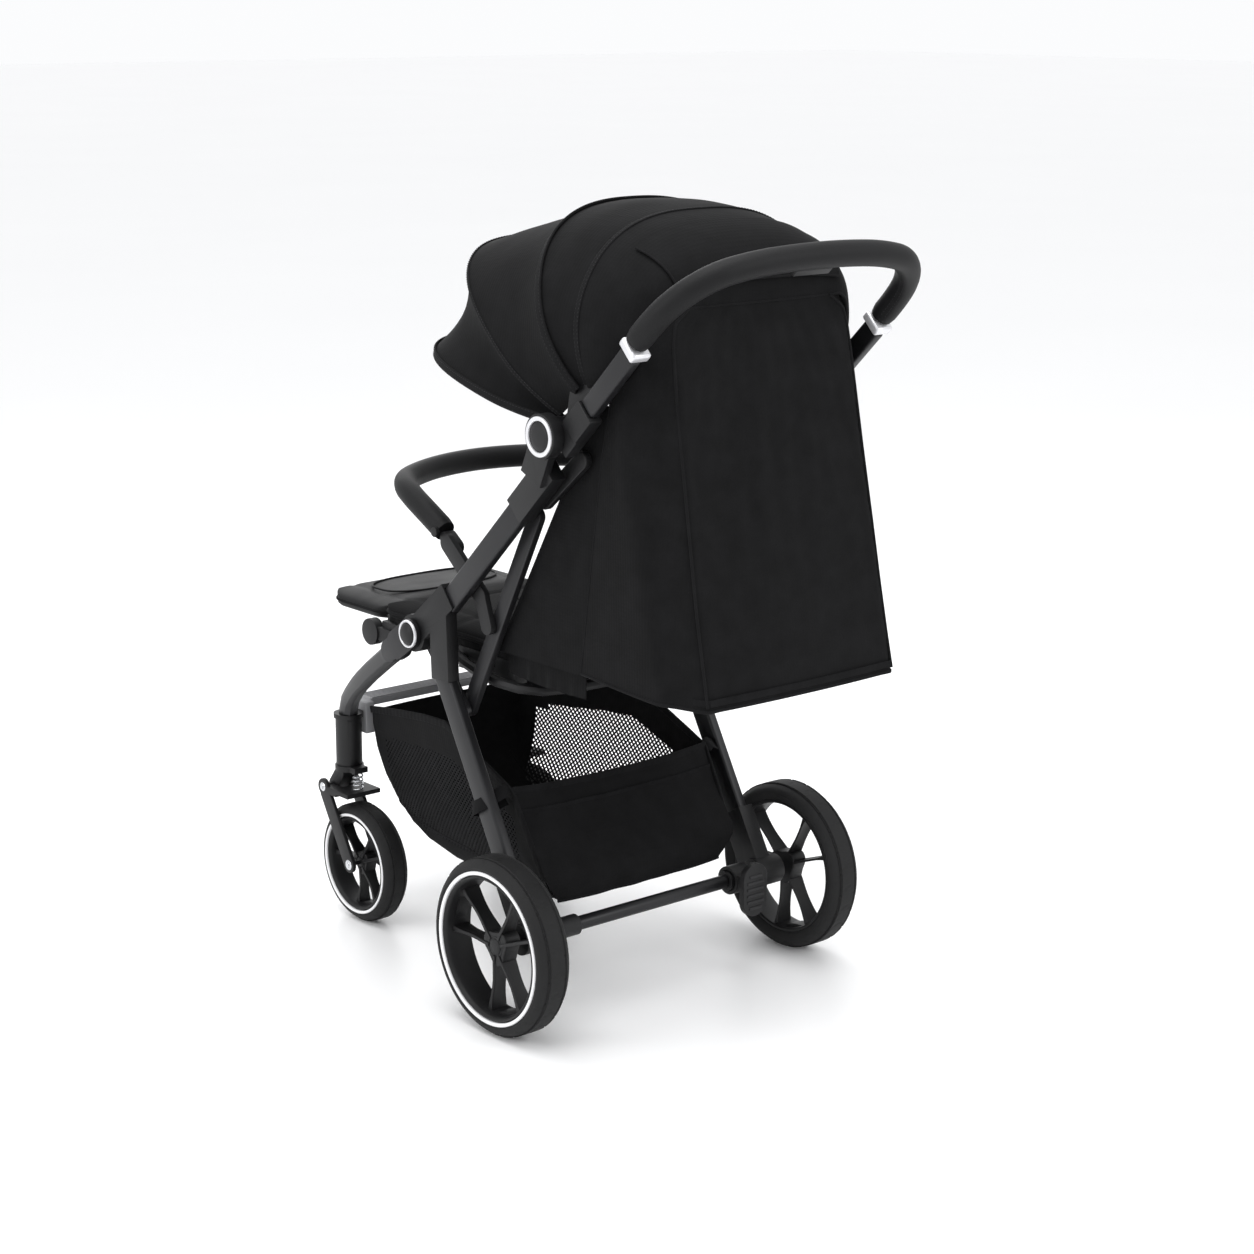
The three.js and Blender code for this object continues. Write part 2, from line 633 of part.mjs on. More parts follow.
// an arch in the plane at an angle about the hood's pivot, from one side to the other
function arch(bow, grow, angle = bow.angle) {
  const steps = 14;
  const points = [];
  const turn = THREE.MathUtils.degToRad(angle);
  for (let i = 0; i <= steps; i += 1) {
    const t = (i / steps) * Math.PI;
    const power = 2 / bow.power;
    const side = Math.sign(Math.cos(t)) * Math.abs(Math.cos(t)) ** power;
    const rise = Math.abs(Math.sin(t)) ** power;
    const up = Math.max(rise * (bow.height + grow), FOOT_RISE);
    const narrow = 1 - FOOT_PINCH * Math.max(0, 1 - up / PINCH_HEIGHT) ** 2;
    points.push([
      side * (bow.half + grow) * narrow,
      bow.y + up * Math.cos(turn),
      bow.z + up * Math.sin(turn),
    ]);
  }
  return points;
}

function gore(from, to) {
  const slack = 0.12; // degrees kept clear of the next gore
  const outer = hull([...arch(from, 0, from.angle + slack), ...arch(to, 0, to.angle - slack)]);
  const below = [[150, 60, 700], [-150, 60, 700], [150, -60, 700], [-150, -60, 700]];
  const inner = hull([
    ...arch(from, -CLOTH, from.angle - 6),
    ...arch(to, -CLOTH, to.angle + 6),
    ...below,
  ]);
  return outer.subtract(inner);
}
add('hood_middle', gore(BOWS.rear, BOWS.middle), FABRIC);
add('hood_front', gore(BOWS.middle, BOWS.front), FABRIC);
add('hood_brim', gore(BOWS.front, BOWS.brim), FABRIC);

// the hood's rear panel closes the space down to the back cover's top edge
function hoodRear() {
  const outer = hull([
    ...arch(BOWS.rear, 0, BOWS.rear.angle - 0.12),
    ...bothSides([[150, 203, 1000], [120, 206, 1001], [170, 192, 975], [186, 172, 925], [188, 130, 890]]),
    [0, 192, 1072],
    ...bothSides([[100, 190, 1058]]),
  ]);
  const inner = hull([
    ...arch(BOWS.rear, -CLOTH, BOWS.rear.angle + 8),
    ...bothSides([
      [146, 199, 1000],
      [118, 202, 1001],
      [166, 188, 975],
      [182, 168, 925],
      [184, 128, 890],
      [150, 196, 800],
      [150, 60, 800],
      [98, 186, 1054],
    ]),
    [0, 188, 1068],
  ]);
  const coverRoom = hull(bothSides([
    [260, 240, 998],
    [260, 190, 998],
    [260, 150, 880],
    [260, 120, 860],
    [260, 300, 860],
    [260, 100, 800],
  ]));
  return outer.subtract(inner).subtract(coverRoom);
}
add('hood_rear', hoodRear(), FABRIC);

// ---- basket: an open bag between the rear legs and the front sleeves ----
function basket() {
  const outside = (inset) => [
    [180 - inset, -90 - inset, 303],
    [180 - inset, -248, 368],
    [142 - inset, -490 + inset, 330],
    [132 - inset, -476 + inset, 240],
    [114 - inset, -420 + inset, 152 + inset],
    [120 - inset, -310, 126 + inset],
    [150 - inset, -26 - inset, 152 + inset],
    [176 - inset, -22 - inset, 190],
    [176 - inset, -60 - inset, 245],
    [165 - inset, -150, 150 + inset],
    [165 - inset, -300, 190],
  ];
  const above = [
    [180 - CLOTH, -90 - CLOTH, 420],
    [180 - CLOTH, -248, 420],
    [142 - CLOTH, -490 + CLOTH, 420],
  ];
  return hull(bothSides(outside(0))).subtract(hull(bothSides([...outside(CLOTH), ...above])));
}
add('basket', basket(), MESH_CLOTH);

export default stroller;
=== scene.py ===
# The looks of a folding baby stroller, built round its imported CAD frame.
import math

import bmesh
import bpy
import numpy as np
from mathutils import Matrix, Vector, noise


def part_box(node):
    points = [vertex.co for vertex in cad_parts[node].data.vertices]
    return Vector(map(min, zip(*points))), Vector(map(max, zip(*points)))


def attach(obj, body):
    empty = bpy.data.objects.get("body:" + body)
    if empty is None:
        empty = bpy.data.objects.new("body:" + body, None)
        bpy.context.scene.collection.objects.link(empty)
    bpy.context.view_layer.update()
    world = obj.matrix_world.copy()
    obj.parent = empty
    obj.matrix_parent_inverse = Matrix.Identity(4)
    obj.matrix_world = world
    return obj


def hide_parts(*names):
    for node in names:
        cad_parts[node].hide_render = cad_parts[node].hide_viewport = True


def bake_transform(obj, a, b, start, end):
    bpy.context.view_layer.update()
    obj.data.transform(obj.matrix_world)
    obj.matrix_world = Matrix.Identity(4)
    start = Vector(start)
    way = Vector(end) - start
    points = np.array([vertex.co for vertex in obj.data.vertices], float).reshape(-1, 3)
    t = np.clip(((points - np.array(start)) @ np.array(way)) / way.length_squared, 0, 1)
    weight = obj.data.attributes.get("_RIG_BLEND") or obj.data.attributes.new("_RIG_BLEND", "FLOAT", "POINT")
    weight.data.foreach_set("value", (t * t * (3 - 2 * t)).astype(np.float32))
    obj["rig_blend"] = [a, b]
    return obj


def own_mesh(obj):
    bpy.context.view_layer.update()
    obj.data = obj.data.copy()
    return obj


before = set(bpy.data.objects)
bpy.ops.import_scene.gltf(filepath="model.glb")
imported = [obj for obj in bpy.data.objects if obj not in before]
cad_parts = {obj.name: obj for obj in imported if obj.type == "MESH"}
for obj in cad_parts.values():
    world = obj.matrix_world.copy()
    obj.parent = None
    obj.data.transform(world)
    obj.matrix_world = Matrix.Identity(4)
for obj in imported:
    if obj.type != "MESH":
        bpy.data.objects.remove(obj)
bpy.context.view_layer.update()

SIDES = (("left", 1), ("right", -1))
MM = 0.001
TYRE_LOW, TYRE_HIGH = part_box("rear_tyre_left")
AXLE = Vector((0, (TYRE_LOW.y + TYRE_HIGH.y) / 2, (TYRE_LOW.z + TYRE_HIGH.z) / 2))


def at(x, y, z):
    """A place given in millimetres across, behind the rear axle and above the floor."""
    return Vector((x * MM, AXLE.y + y * MM, z * MM))


# ---------------------------------------------------------------- materials


def node(tree, kind, **values):
    """A new node. A value that is another node's output is linked, and any other is set."""
    made = tree.nodes.new(kind)
    for key, value in values.items():
        if isinstance(value, bpy.types.NodeSocket):
            tree.links.new(value, made.inputs[key])
        elif key in made.inputs:
            made.inputs[key].default_value = value
        else:
            setattr(made, key, value)
    return made


def math_node(tree, operation, *values):
    made = node(tree, "ShaderNodeMath", operation=operation)
    for socket, value in zip(made.inputs, values):
        if isinstance(value, bpy.types.NodeSocket):
            tree.links.new(value, socket)
        else:
            socket.default_value = value
    return made.outputs[0]


def object_coords(tree):
    return node(tree, "ShaderNodeTexCoord").outputs["Object"]


def bump(tree, shader, height, strength, distance, below=None):
    made = node(tree, "ShaderNodeBump", Strength=strength, Distance=distance, Height=height)
    if below is not None:
        tree.links.new(below.outputs["Normal"], made.inputs["Normal"])
    tree.links.new(made.outputs["Normal"], shader.inputs["Normal"])
    return made


def mottled(name, dark, light, scale, low, high):
    """A new material whose colour and roughness vary with soft noise."""
    material = bpy.data.materials.new(name)
    material.use_nodes = True
    tree = material.node_tree
    shader = tree.nodes["Principled BSDF"]
    coords = object_coords(tree)
    cloud = node(tree, "ShaderNodeTexNoise", Vector=coords, Scale=scale, Detail=6.0)
    ramp = node(tree, "ShaderNodeValToRGB")
    for element, place_on, colour in zip(ramp.color_ramp.elements, (0.3, 0.72), (dark, light)):
        element.position = place_on
        element.color = (*colour, 1)
    tree.links.new(cloud.outputs["Fac"], ramp.inputs["Fac"])
    tree.links.new(ramp.outputs["Color"], shader.inputs["Base Color"])
    limits = {"To Min": low, "To Max": high, "Value": cloud.outputs["Fac"]}
    spread = node(tree, "ShaderNodeMapRange", **limits)
    tree.links.new(spread.outputs["Result"], shader.inputs["Roughness"])
    return material, tree, shader, coords


def waves(tree, coords, axes, **values):
    """One banded wave for each axis."""
    return [
        node(
            tree, "ShaderNodeTexWave", wave_type="BANDS", bands_direction=axis, Vector=coords, **values
        ).outputs["Fac"]
        for axis in axes
    ]


def woven(name, dark, light, thread=0.0009, relief=0.22):
    """Plain-weave cloth: warp and weft as crossed waves, over soft mottling and creases."""
    material, tree, shader, coords = mottled(name, dark, light, 34.0, 0.78, 0.95)
    heights = waves(tree, coords, "XYZ", Scale=1 / (thread * 20), Distortion=0.6)
    crossed = math_node(tree, "MULTIPLY", heights[0], heights[2])
    weave = math_node(tree, "ADD", crossed, heights[1])
    crease = node(
        tree, "ShaderNodeTexNoise", Vector=coords, Scale=7.0, Detail=3.0, Distortion=0.6
    )
    soft = bump(tree, shader, crease.outputs["Fac"], 0.35, 0.006)
    bump(tree, shader, weave, relief, 0.0004, soft)
    shader.inputs["Sheen Weight"].default_value = 0.015
    shader.inputs["Sheen Roughness"].default_value = 0.5
    shader.inputs["Specular IOR Level"].default_value = 0.09
    return material


def leather(name, dark, light, rough):
    """Coated leatherette: small pebble grain with a soft gloss."""
    material, tree, shader, coords = mottled(name, dark, light, 22.0, *rough)
    pebbles = node(
        tree, "ShaderNodeTexVoronoi", feature="SMOOTH_F1", Vector=coords, Scale=650.0
    )
    bump(tree, shader, pebbles.outputs["Distance"], 0.35, 0.0005)
    shader.inputs["Specular IOR Level"].default_value = 0.22
    return material


def moulded(name, dark, light, rough=(0.42, 0.56), grain=900.0, relief=0.16):
    """Injection-moulded plastic or rubber with a fine spark-eroded grain."""
    material, tree, shader, coords = mottled(name, dark, light, 16.0, *rough)
    fine = node(tree, "ShaderNodeTexNoise", Vector=coords, Scale=grain, Detail=2.0)
    bump(tree, shader, fine.outputs["Fac"], relief, 0.0006)
    shader.inputs["Specular IOR Level"].default_value = 0.3
    return material


def netting(name):
    """Open net: black cord with diamond holes that light comes through."""
    material = woven(name, (0.008, 0.008, 0.0085), (0.014, 0.014, 0.015), thread=0.0006)
    tree = material.node_tree
    diagonal = (math.radians(45), 0, 0)
    turned = node(tree, "ShaderNodeMapping", Vector=object_coords(tree), Rotation=diagonal)
    strands = waves(tree, turned.outputs["Vector"], "YZ", Scale=52.0)
    cord = math_node(tree, "GREATER_THAN", math_node(tree, "MAXIMUM", *strands), 0.7)
    tree.links.new(cord, tree.nodes["Principled BSDF"].inputs["Alpha"])
    return material


def metal(name, dark, light, rough, metallic):
    """Metal with faint lines drawn along its length."""
    material, tree, shader, coords = mottled(name, dark, light, 12.0, *rough)
    stretch = node(tree, "ShaderNodeMapping", Vector=coords, Scale=(4.0, 4.0, 900.0))
    lines = node(
        tree, "ShaderNodeTexNoise", Vector=stretch.outputs["Vector"], Scale=1.0, Detail=3.0
    )
    bump(tree, shader, lines.outputs["Fac"], 0.05, 0.0003)
    shader.inputs["Metallic"].default_value = metallic
    return material


FABRIC = woven("woven_black", (0.0046, 0.0046, 0.0049), (0.0078, 0.0078, 0.0083))
PIPING = woven("piping_black", (0.0058, 0.0058, 0.0062), (0.0094, 0.0094, 0.01), 0.0007)
LINING = woven("lining_black", (0.0038, 0.0038, 0.004), (0.0065, 0.0065, 0.007), 0.0014)
NETTING = netting("netting_black")
WEBBING = woven("webbing_black", (0.0048, 0.0048, 0.0052), (0.0088, 0.0088, 0.0094), 0.0018, 0.6)
LEATHER = leather("leatherette_black", (0.0035, 0.0035, 0.0039), (0.0062, 0.0062, 0.007), (0.5, 0.64))
THREAD = moulded("thread_grey", (0.012, 0.012, 0.013), (0.02, 0.02, 0.021), (0.6, 0.75))
PLASTIC = moulded("plastic_black", (0.005, 0.005, 0.0055), (0.0085, 0.0085, 0.0092))
RUBBER = moulded("tyre_black", (0.005, 0.005, 0.0053), (0.009, 0.009, 0.0094), (0.6, 0.78), 420.0, 0.3)
WHITE = moulded("ring_white", (0.74, 0.74, 0.75), (0.84, 0.84, 0.85), (0.32, 0.42), 500.0, 0.05)
TREAD = moulded("tread_grey", (0.24, 0.24, 0.25), (0.33, 0.33, 0.34), (0.5, 0.65))
TUBE = metal("tube_anodised", (0.009, 0.009, 0.0102), (0.0135, 0.0135, 0.0152), (0.36, 0.48), 0.35)
PEDAL = moulded("pedal_rubber", (0.016, 0.016, 0.017), (0.026, 0.026, 0.027), (0.55, 0.7))
SILVER = metal("band_silver", (0.66, 0.66, 0.68), (0.78, 0.78, 0.8), (0.3, 0.4), 0.55)
STEEL = metal("steel_bright", (0.55, 0.56, 0.58), (0.7, 0.71, 0.73), (0.22, 0.34), 1.0)

# ---------------------------------------------------------------- mesh tools


def grid_faces(rows, count, loop=True):
    """Quads between rows of count points, and round the end of each row if it is a loop."""
    faces = []
    for i in range(rows - 1):
        for k in range(count if loop else count - 1):
            n = (k + 1) % count
            faces.append((i * count + k, i * count + n, (i + 1) * count + n, (i + 1) * count + k))
    return faces


def turned_faces(steps, count, loop=False):
    """Quads round an axle between copies of a profile of count points."""
    faces = []
    for s in range(steps):
        n = (s + 1) % steps
        for k in range(count if loop else count - 1):
            m = (k + 1) % count
            faces.append((s * count + k, n * count + k, n * count + m, s * count + m))
    return faces


def mesh_object(name, verts, faces, material, smooth=40):
    mesh = bpy.data.meshes.new(name)
    mesh.from_pydata([tuple(v) for v in verts], [], [tuple(f) for f in faces])
    made = bpy.data.objects.new(name, mesh)
    bpy.context.scene.collection.objects.link(made)
    mesh.materials.append(material)
    tidy(made)
    shade(made, smooth)
    return made


def tidy(piece):
    """Merges doubled points and turns every face outwards."""
    work = bmesh.new()
    work.from_mesh(piece.data)
    bmesh.ops.remove_doubles(work, verts=work.verts, dist=1e-6)
    bmesh.ops.recalc_face_normals(work, faces=work.faces)
    work.to_mesh(piece.data)
    work.free()


def shade(piece, degrees=40):
    """Smooth shading, with edges sharper than the angle kept crisp."""
    mesh = piece.data
    mesh.polygons.foreach_set("use_smooth", [True] * len(mesh.polygons))
    work = bmesh.new()
    work.from_mesh(mesh)
    limit = math.radians(degrees)
    for edge in work.edges:
        if len(edge.link_faces) == 2:
            edge.smooth = edge.calc_face_angle(0) < limit
    work.to_mesh(mesh)
    work.free()


def apply_modifiers(piece):
    """Bakes the modifiers into the piece's own mesh."""
    graph = bpy.context.evaluated_depsgraph_get()
    graph.update()
    mesh = bpy.data.meshes.new_from_object(piece.evaluated_get(graph))
    piece.modifiers.clear()
    piece.data = mesh
    return piece


def bevel(piece, width, segments=3, degrees=32):
    made = piece.modifiers.new("bevel", "BEVEL")
    made.width = width
    made.segments = segments
    made.limit_method = "ANGLE"
    made.angle_limit = math.radians(degrees)
    made.harden_normals = False
    apply_modifiers(piece)
    shade(piece, 38)
    return piece


def thicken(piece, thickness, offset=-1):
    made = piece.modifiers.new("thickness", "SOLIDIFY")
    made.thickness = thickness
    made.offset = offset
    apply_modifiers(piece)
    shade(piece, 50)
    return piece


def joined(name, pieces):
    """Several objects as one, which keeps each one's material."""
    verts, faces, slots, materials, smooth = [], [], [], [], []
    for piece in pieces:
        base = len(verts)
        local = {}
        for index, material in enumerate(piece.data.materials):
            if material not in materials:
                materials.append(material)
            local[index] = materials.index(material)
        verts += [piece.matrix_world @ v.co for v in piece.data.vertices]
        for face in piece.data.polygons:
            faces.append([base + v for v in face.vertices])
            slots.append(local.get(face.material_index, 0))
            smooth.append(face.use_smooth)
        bpy.data.objects.remove(piece)
    mesh = bpy.data.meshes.new(name)
    mesh.from_pydata([tuple(v) for v in verts], [], faces)
    for material in materials:
        mesh.materials.append(material)
    mesh.polygons.foreach_set("material_index", slots)
    made = bpy.data.objects.new(name, mesh)
    bpy.context.scene.collection.objects.link(made)
    shade(made, 38)
    return made


def mirrored(piece, name):
    """The same piece on the other side of the stroller."""
    made = piece.copy()
    made.data = piece.data.copy()
    made.name = name
    bpy.context.scene.collection.objects.link(made)
    made.data.transform(Matrix.Scale(-1, 4, (1, 0, 0)))
    made.data.flip_normals()
    return made


def place(piece, body, slot, *nodes):
    """Rides the piece on a body and hides the CAD nodes it stands for. The finish slot is not used."""
    if "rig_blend" not in piece:
        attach(piece, body)
    if nodes:
        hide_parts(*nodes)
    return piece


def both_sides(make, name, body, slot, *nodes):
    """Makes the left piece, mirrors it, and rides each on its side's body."""
    left = make(f"{name}_left")
    right = mirrored(left, f"{name}_right")
    for piece, (side, _) in ((left, SIDES[0]), (right, SIDES[1])):
        own = [n.format(side=side) for n in nodes]
        place(piece, body.format(side=side), slot, *own)
    return left, right


def smooth_path(points, count):
    """Evenly spaced places along a Catmull-Rom curve through the points."""
    knots = [Vector(p) for p in points]
    dense = []
    for i in range(len(knots) - 1):
        before = knots[i - 1] if i else knots[0] * 2 - knots[1]
        after = knots[i + 2] if i + 2 < len(knots) else knots[-1] * 2 - knots[-2]
        for k in range(16):
            t = k / 16
            dense.append(catmull(before, knots[i], knots[i + 1], after, t))
    dense.append(knots[-1])
    return resample(dense, count)


def catmull(a, b, c, d, t):
    return 0.5 * (
        2 * b
        + (c - a) * t
        + (2 * a - 5 * b + 4 * c - d) * t * t
        + (3 * b - a - 3 * c + d) * t ** 3
    )


def resample(points, count):
    lengths = [0.0]
    for a, b in zip(points, points[1:]):
        lengths.append(lengths[-1] + (b - a).length)
    out, k = [], 0
    for i in range(count):
        target = lengths[-1] * i / (count - 1)
        while k < len(points) - 2 and lengths[k + 1] < target:
            k += 1
        span = max(lengths[k + 1] - lengths[k], 1e-9)
        out.append(points[k].lerp(points[k + 1], min(1.0, (target - lengths[k]) / span)))
    return out


def frames_along(path, across=None):
    """At each point of a path: its two side directions, which turn as little as they can."""
    out = []
    side = None
    for i, point in enumerate(path):
        ahead = (path[min(i + 1, len(path) - 1)] - path[max(i - 1, 0)]).normalized()
        if side is None:
            side = Vector(across) if across else ahead.orthogonal()
        side = (side - ahead * side.dot(ahead)).normalized()
        out.append((point, side, ahead.cross(side).normalized(), ahead))
    return out


def sweep(name, path, section, material, across=None, caps=True):
    """Carries a section, a function of how far along or a fixed list, along a path."""
    verts = []
    rings = frames_along(path, across)
    for i, (point, side, up, _) in enumerate(rings):
        shape = section(i / (len(rings) - 1)) if callable(section) else section
        count = len(shape)
        verts += [point + side * u + up * v for u, v in shape]
    faces = grid_faces(len(rings), count)
    if caps:
        faces.append(tuple(reversed(range(count))))
        faces.append(tuple((len(rings) - 1) * count + k for k in range(count)))
    return mesh_object(name, verts, faces, material)


def circle(radius, count):
    turn = [2 * math.pi * k / count for k in range(count)]
    return [(radius * math.cos(a), radius * math.sin(a)) for a in turn]


def rounded_box(width, height, radius, steps=5):
    out = []
    corners = ((1, 1, 0), (-1, 1, 90), (-1, -1, 180), (1, -1, 270))
    for sx, sy, start in corners:
        for k in range(steps + 1):
            a = math.radians(start + 90 * k / steps)
            out.append((
                sx * (width / 2 - radius) + radius * math.cos(a),
                sy * (height / 2 - radius) + radius * math.sin(a),
            ))
    return out


def lathe_x(name, profile, centre, material, segments=96, smooth=40):
    """Turns (radius, across) points about an axle along X."""
    verts = []
    for s in range(segments):
        a = 2 * math.pi * s / segments
        for r, x in profile:
            verts.append(centre + Vector((x, r * math.cos(a), r * math.sin(a))))
    return mesh_object(name, verts, turned_faces(segments, len(profile)), material, smooth)


def plate_x(name, outline, x0, x1, material, edge):
    """A (y, z) outline made into a plate between two x values, with rounded edges."""
    count = len(outline)
    verts = [Vector((x0, y, z)) for y, z in outline] + [Vector((x1, y, z)) for y, z in outline]
    faces = [tuple(range(count)), tuple(range(2 * count - 1, count - 1, -1))]
    for k in range(count):
        n = (k + 1) % count
        faces.append((k, n, count + n, count + k))
    made = mesh_object(name, verts, faces, material)
    return bevel(made, edge, 3, 30)


def disc_x(name, radius, x0, x1, centre, material, edge=0.001, segments=64):
    """A round plate or rod along X with rounded rims."""
    ring = [
        (centre.y + radius * math.cos(a), centre.z + radius * math.sin(a))
        for a in (2 * math.pi * k / segments for k in range(segments))
    ]
    return plate_x(name, ring, x0, x1, material, edge)


def box_piece(name, low, high, material, edge=0.002):
    outline = [(low.y, low.z), (high.y, low.z), (high.y, high.z), (low.y, high.z)]
    return plate_x(name, outline, low.x, high.x, material, edge)


def surface(name, rows, material, smooth=60, loop=False):
    """A sheet through rows of points."""
    verts = [p for row in rows for p in row]
    return mesh_object(name, verts, grid_faces(len(rows), len(rows[0]), loop), material, smooth)


def smoothed_rows(knots, count):
    """Rows through the knot rows, smoothed down each column."""
    columns = [smooth_path(column, count) for column in zip(*knots)]
    return [list(row) for row in zip(*columns)]


def stitches(name, path, material, thick=0.0005):
    """A row of separate thread stitches along a path."""
    length, gap = 0.0032, 0.0022
    total = sum((b - a).length for a, b in zip(path, path[1:]))
    count = max(2, int(total / (length + gap)))
    points = resample(path, count * 2 + 1)
    verts, faces = [], []
    for i in range(count):
        a, b = points[2 * i], points[2 * i + 1]
        along = (b - a).normalized()
        side = along.orthogonal().normalized()
        up = along.cross(side)
        base = len(verts)
        for place_at, size in ((a, 0.45), (a.lerp(b, 0.5), 1.0), (b, 0.45)):
            for k in range(5):
                turn = 2 * math.pi * k / 5
                verts.append(place_at + (side * math.cos(turn) + up * math.sin(turn)) * thick * size)
        for ring in range(2):
            for k in range(5):
                n = (k + 1) % 5
                low = base + ring * 5
                faces.append((low + k, low + n, low + 5 + n, low + 5 + k))
        faces.append(tuple(base + k for k in reversed(range(5))))
        faces.append(tuple(base + 10 + k for k in range(5)))
    return mesh_object(name, verts, faces, material, 60)


def refined(node_name, name, material, edge):
    """A CAD node's own shape with its flat facets merged and its edges rounded."""
    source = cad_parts[node_name]
    made = bpy.data.objects.new(name, source.data.copy())
    bpy.context.scene.collection.objects.link(made)
    made.data.materials.clear()
    made.data.materials.append(material)
    work = bmesh.new()
    work.from_mesh(made.data)
    bmesh.ops.remove_doubles(work, verts=work.verts, dist=1e-6)
    bmesh.ops.dissolve_limit(work, angle_limit=math.radians(1.5), verts=work.verts, edges=work.edges)
    bmesh.ops.recalc_face_normals(work, faces=work.faces)
    work.to_mesh(made.data)
    work.free()
    return bevel(made, edge, 3, 34)


# ---------------------------------------------------------------- camera, floor and light


def aimed(thing, place_at, target, roll=0.0):
    look = (Vector(target) - Vector(place_at)).normalized()
    turn = look.to_track_quat("-Z", "Y").to_matrix().to_4x4()
    thing.matrix_world = Matrix.Translation(place_at) @ turn @ Matrix.Rotation(roll, 4, "Z")
    bpy.context.scene.collection.objects.link(thing)


LENS = 74.82
CAMERA_AT = (2.29265, 2.80002, 1.39573)
CAMERA_TARGET = (-0.0149, 0.0565, 0.5127)
CAMERA_ROLL = math.radians(0.213)
camera = bpy.data.cameras.new("camera")
camera.lens = LENS
camera.sensor_width = 36
camera.clip_end = 120
camera_object = bpy.data.objects.new("camera", camera)
aimed(camera_object, CAMERA_AT, CAMERA_TARGET, CAMERA_ROLL)
bpy.context.scene.camera = camera_object


def soft_light(name, place_at, target, size, power):
    light = bpy.data.lights.new(name, "AREA")
    light.shape = "DISK"
    light.size = size
    light.energy = power
    aimed(bpy.data.objects.new(name, light), place_at, target)


soft_light("light_top", (0.4, 0.2, 3.4), (0, 0, 0.5), 3.2, 62)
soft_light("light_left", (3.6, -0.6, 1.9), (0, 0, 0.6), 2.2, 36)
soft_light("light_back", (-1.4, 3.6, 2.4), (0, 0, 0.6), 2.4, 40)
soft_light("light_front", (-1.5, -3.2, 2.2), (0, 0, 0.6), 2.6, 26)

bpy.context.scene.view_settings.view_transform = "Standard"
world = bpy.data.worlds.new("studio")
bpy.context.scene.world = world
world.use_nodes = True
background = world.node_tree.nodes["Background"]
background.inputs["Color"].default_value = (0.97, 0.975, 0.985, 1)
background.inputs["Strength"].default_value = 1.0


FLOOR_HALF = 40
floor_material = mottled("floor_pale", (0.965, 0.965, 0.968), (0.98, 0.98, 0.982), 0.7, 0.34, 0.42)[0]
corners = [(FLOOR_HALF * x, FLOOR_HALF * y, 0) for x, y in ((-1, -1), (1, -1), (1, 1), (-1, 1))]
mesh_object("floor", corners, [(0, 1, 2, 3)], floor_material)

# ---------------------------------------------------------------- wheels

SPOKE_ANGLES = (21, 62, 139, 180, 263, 304)
REAR_WHEEL = {"radius": 125, "width": 54, "rim": 104, "x": 270, "y": 0, "hub": 24, "depth": 27}
FRONT_WHEEL = {"radius": 92, "width": 44, "rim": 75, "x": 159.5, "y": -489, "hub": 17, "depth": 22}


def tyre_piece(name, wheel):
    """A tyre with two grooves round its tread and shallow slanting cuts between them."""
    radius, half, inner = wheel["radius"], wheel["width"] / 2, wheel["rim"] - 3.4
    section = [
        (inner, -half + 7), (inner + 4, -half + 3.2), (radius - 13, -half + 0.6),
        (radius - 9, -half + 1.6), (radius - 6, -half + 4.2), (radius - 3.4, -half + 8),
        (radius - 1.4, -half + 12),
    ]
    tread = [-11.5, -10.4, -9.6, -8.5, -5, -1.6, 1.6, 5, 8.5, 9.6, 10.4, 11.5]
    grooves = {-10.4: 1.6, -9.6: 1.6, 9.6: 1.6, 10.4: 1.6}
    scale = (half - 15) / 12 + 0.35
    profile = section + [(radius - grooves.get(x, 0) - abs(x) * 0.03, x * scale) for x in tread]
    profile += [(r, -x) for r, x in reversed(section)]
    steps, cuts, pitch, cut_width, cut_depth = 360, 24, 15, 0.95, 0.9
    verts = []
    centre = at(wheel["x"], wheel["y"], wheel["radius"])
    for s in range(steps):
        for r, x in profile:
            lag = (abs(x) * 0.55 + s * cuts * pitch / steps) % pitch
            cut = cut_depth if r > radius - 8 and lag < cut_width and abs(x) > 2.0 else 0.0
            a = 2 * math.pi * s / steps
            reach = (r - cut) * MM
            verts.append(centre + Vector((x * MM, reach * math.cos(a), reach * math.sin(a))))
    return mesh_object(name, verts, turned_faces(steps, len(profile), loop=True), RUBBER, 30)


def scaled(profile):
    return [(r * MM, x * MM) for r, x in profile]


def ring_piece(name, wheel):
    """The pale trim ring let into the outer face of the tyre."""
    edge = wheel["width"] / 2
    low, high = wheel["rim"] - 1.4, wheel["rim"] + (3.9 if wheel is REAR_WHEEL else 3.0)
    middle = (low + high) / 2
    profile = [
        (low, edge - 6), (low, edge - 1.4), (low + 0.8, edge - 0.4), (middle, edge + 0.2),
        (high - 0.8, edge - 0.1), (high, edge - 1.2), (high, edge - 6), (low, edge - 6),
    ]
    return lathe_x(name, scaled(profile), at(wheel["x"], wheel["y"], wheel["radius"]), WHITE, 144)


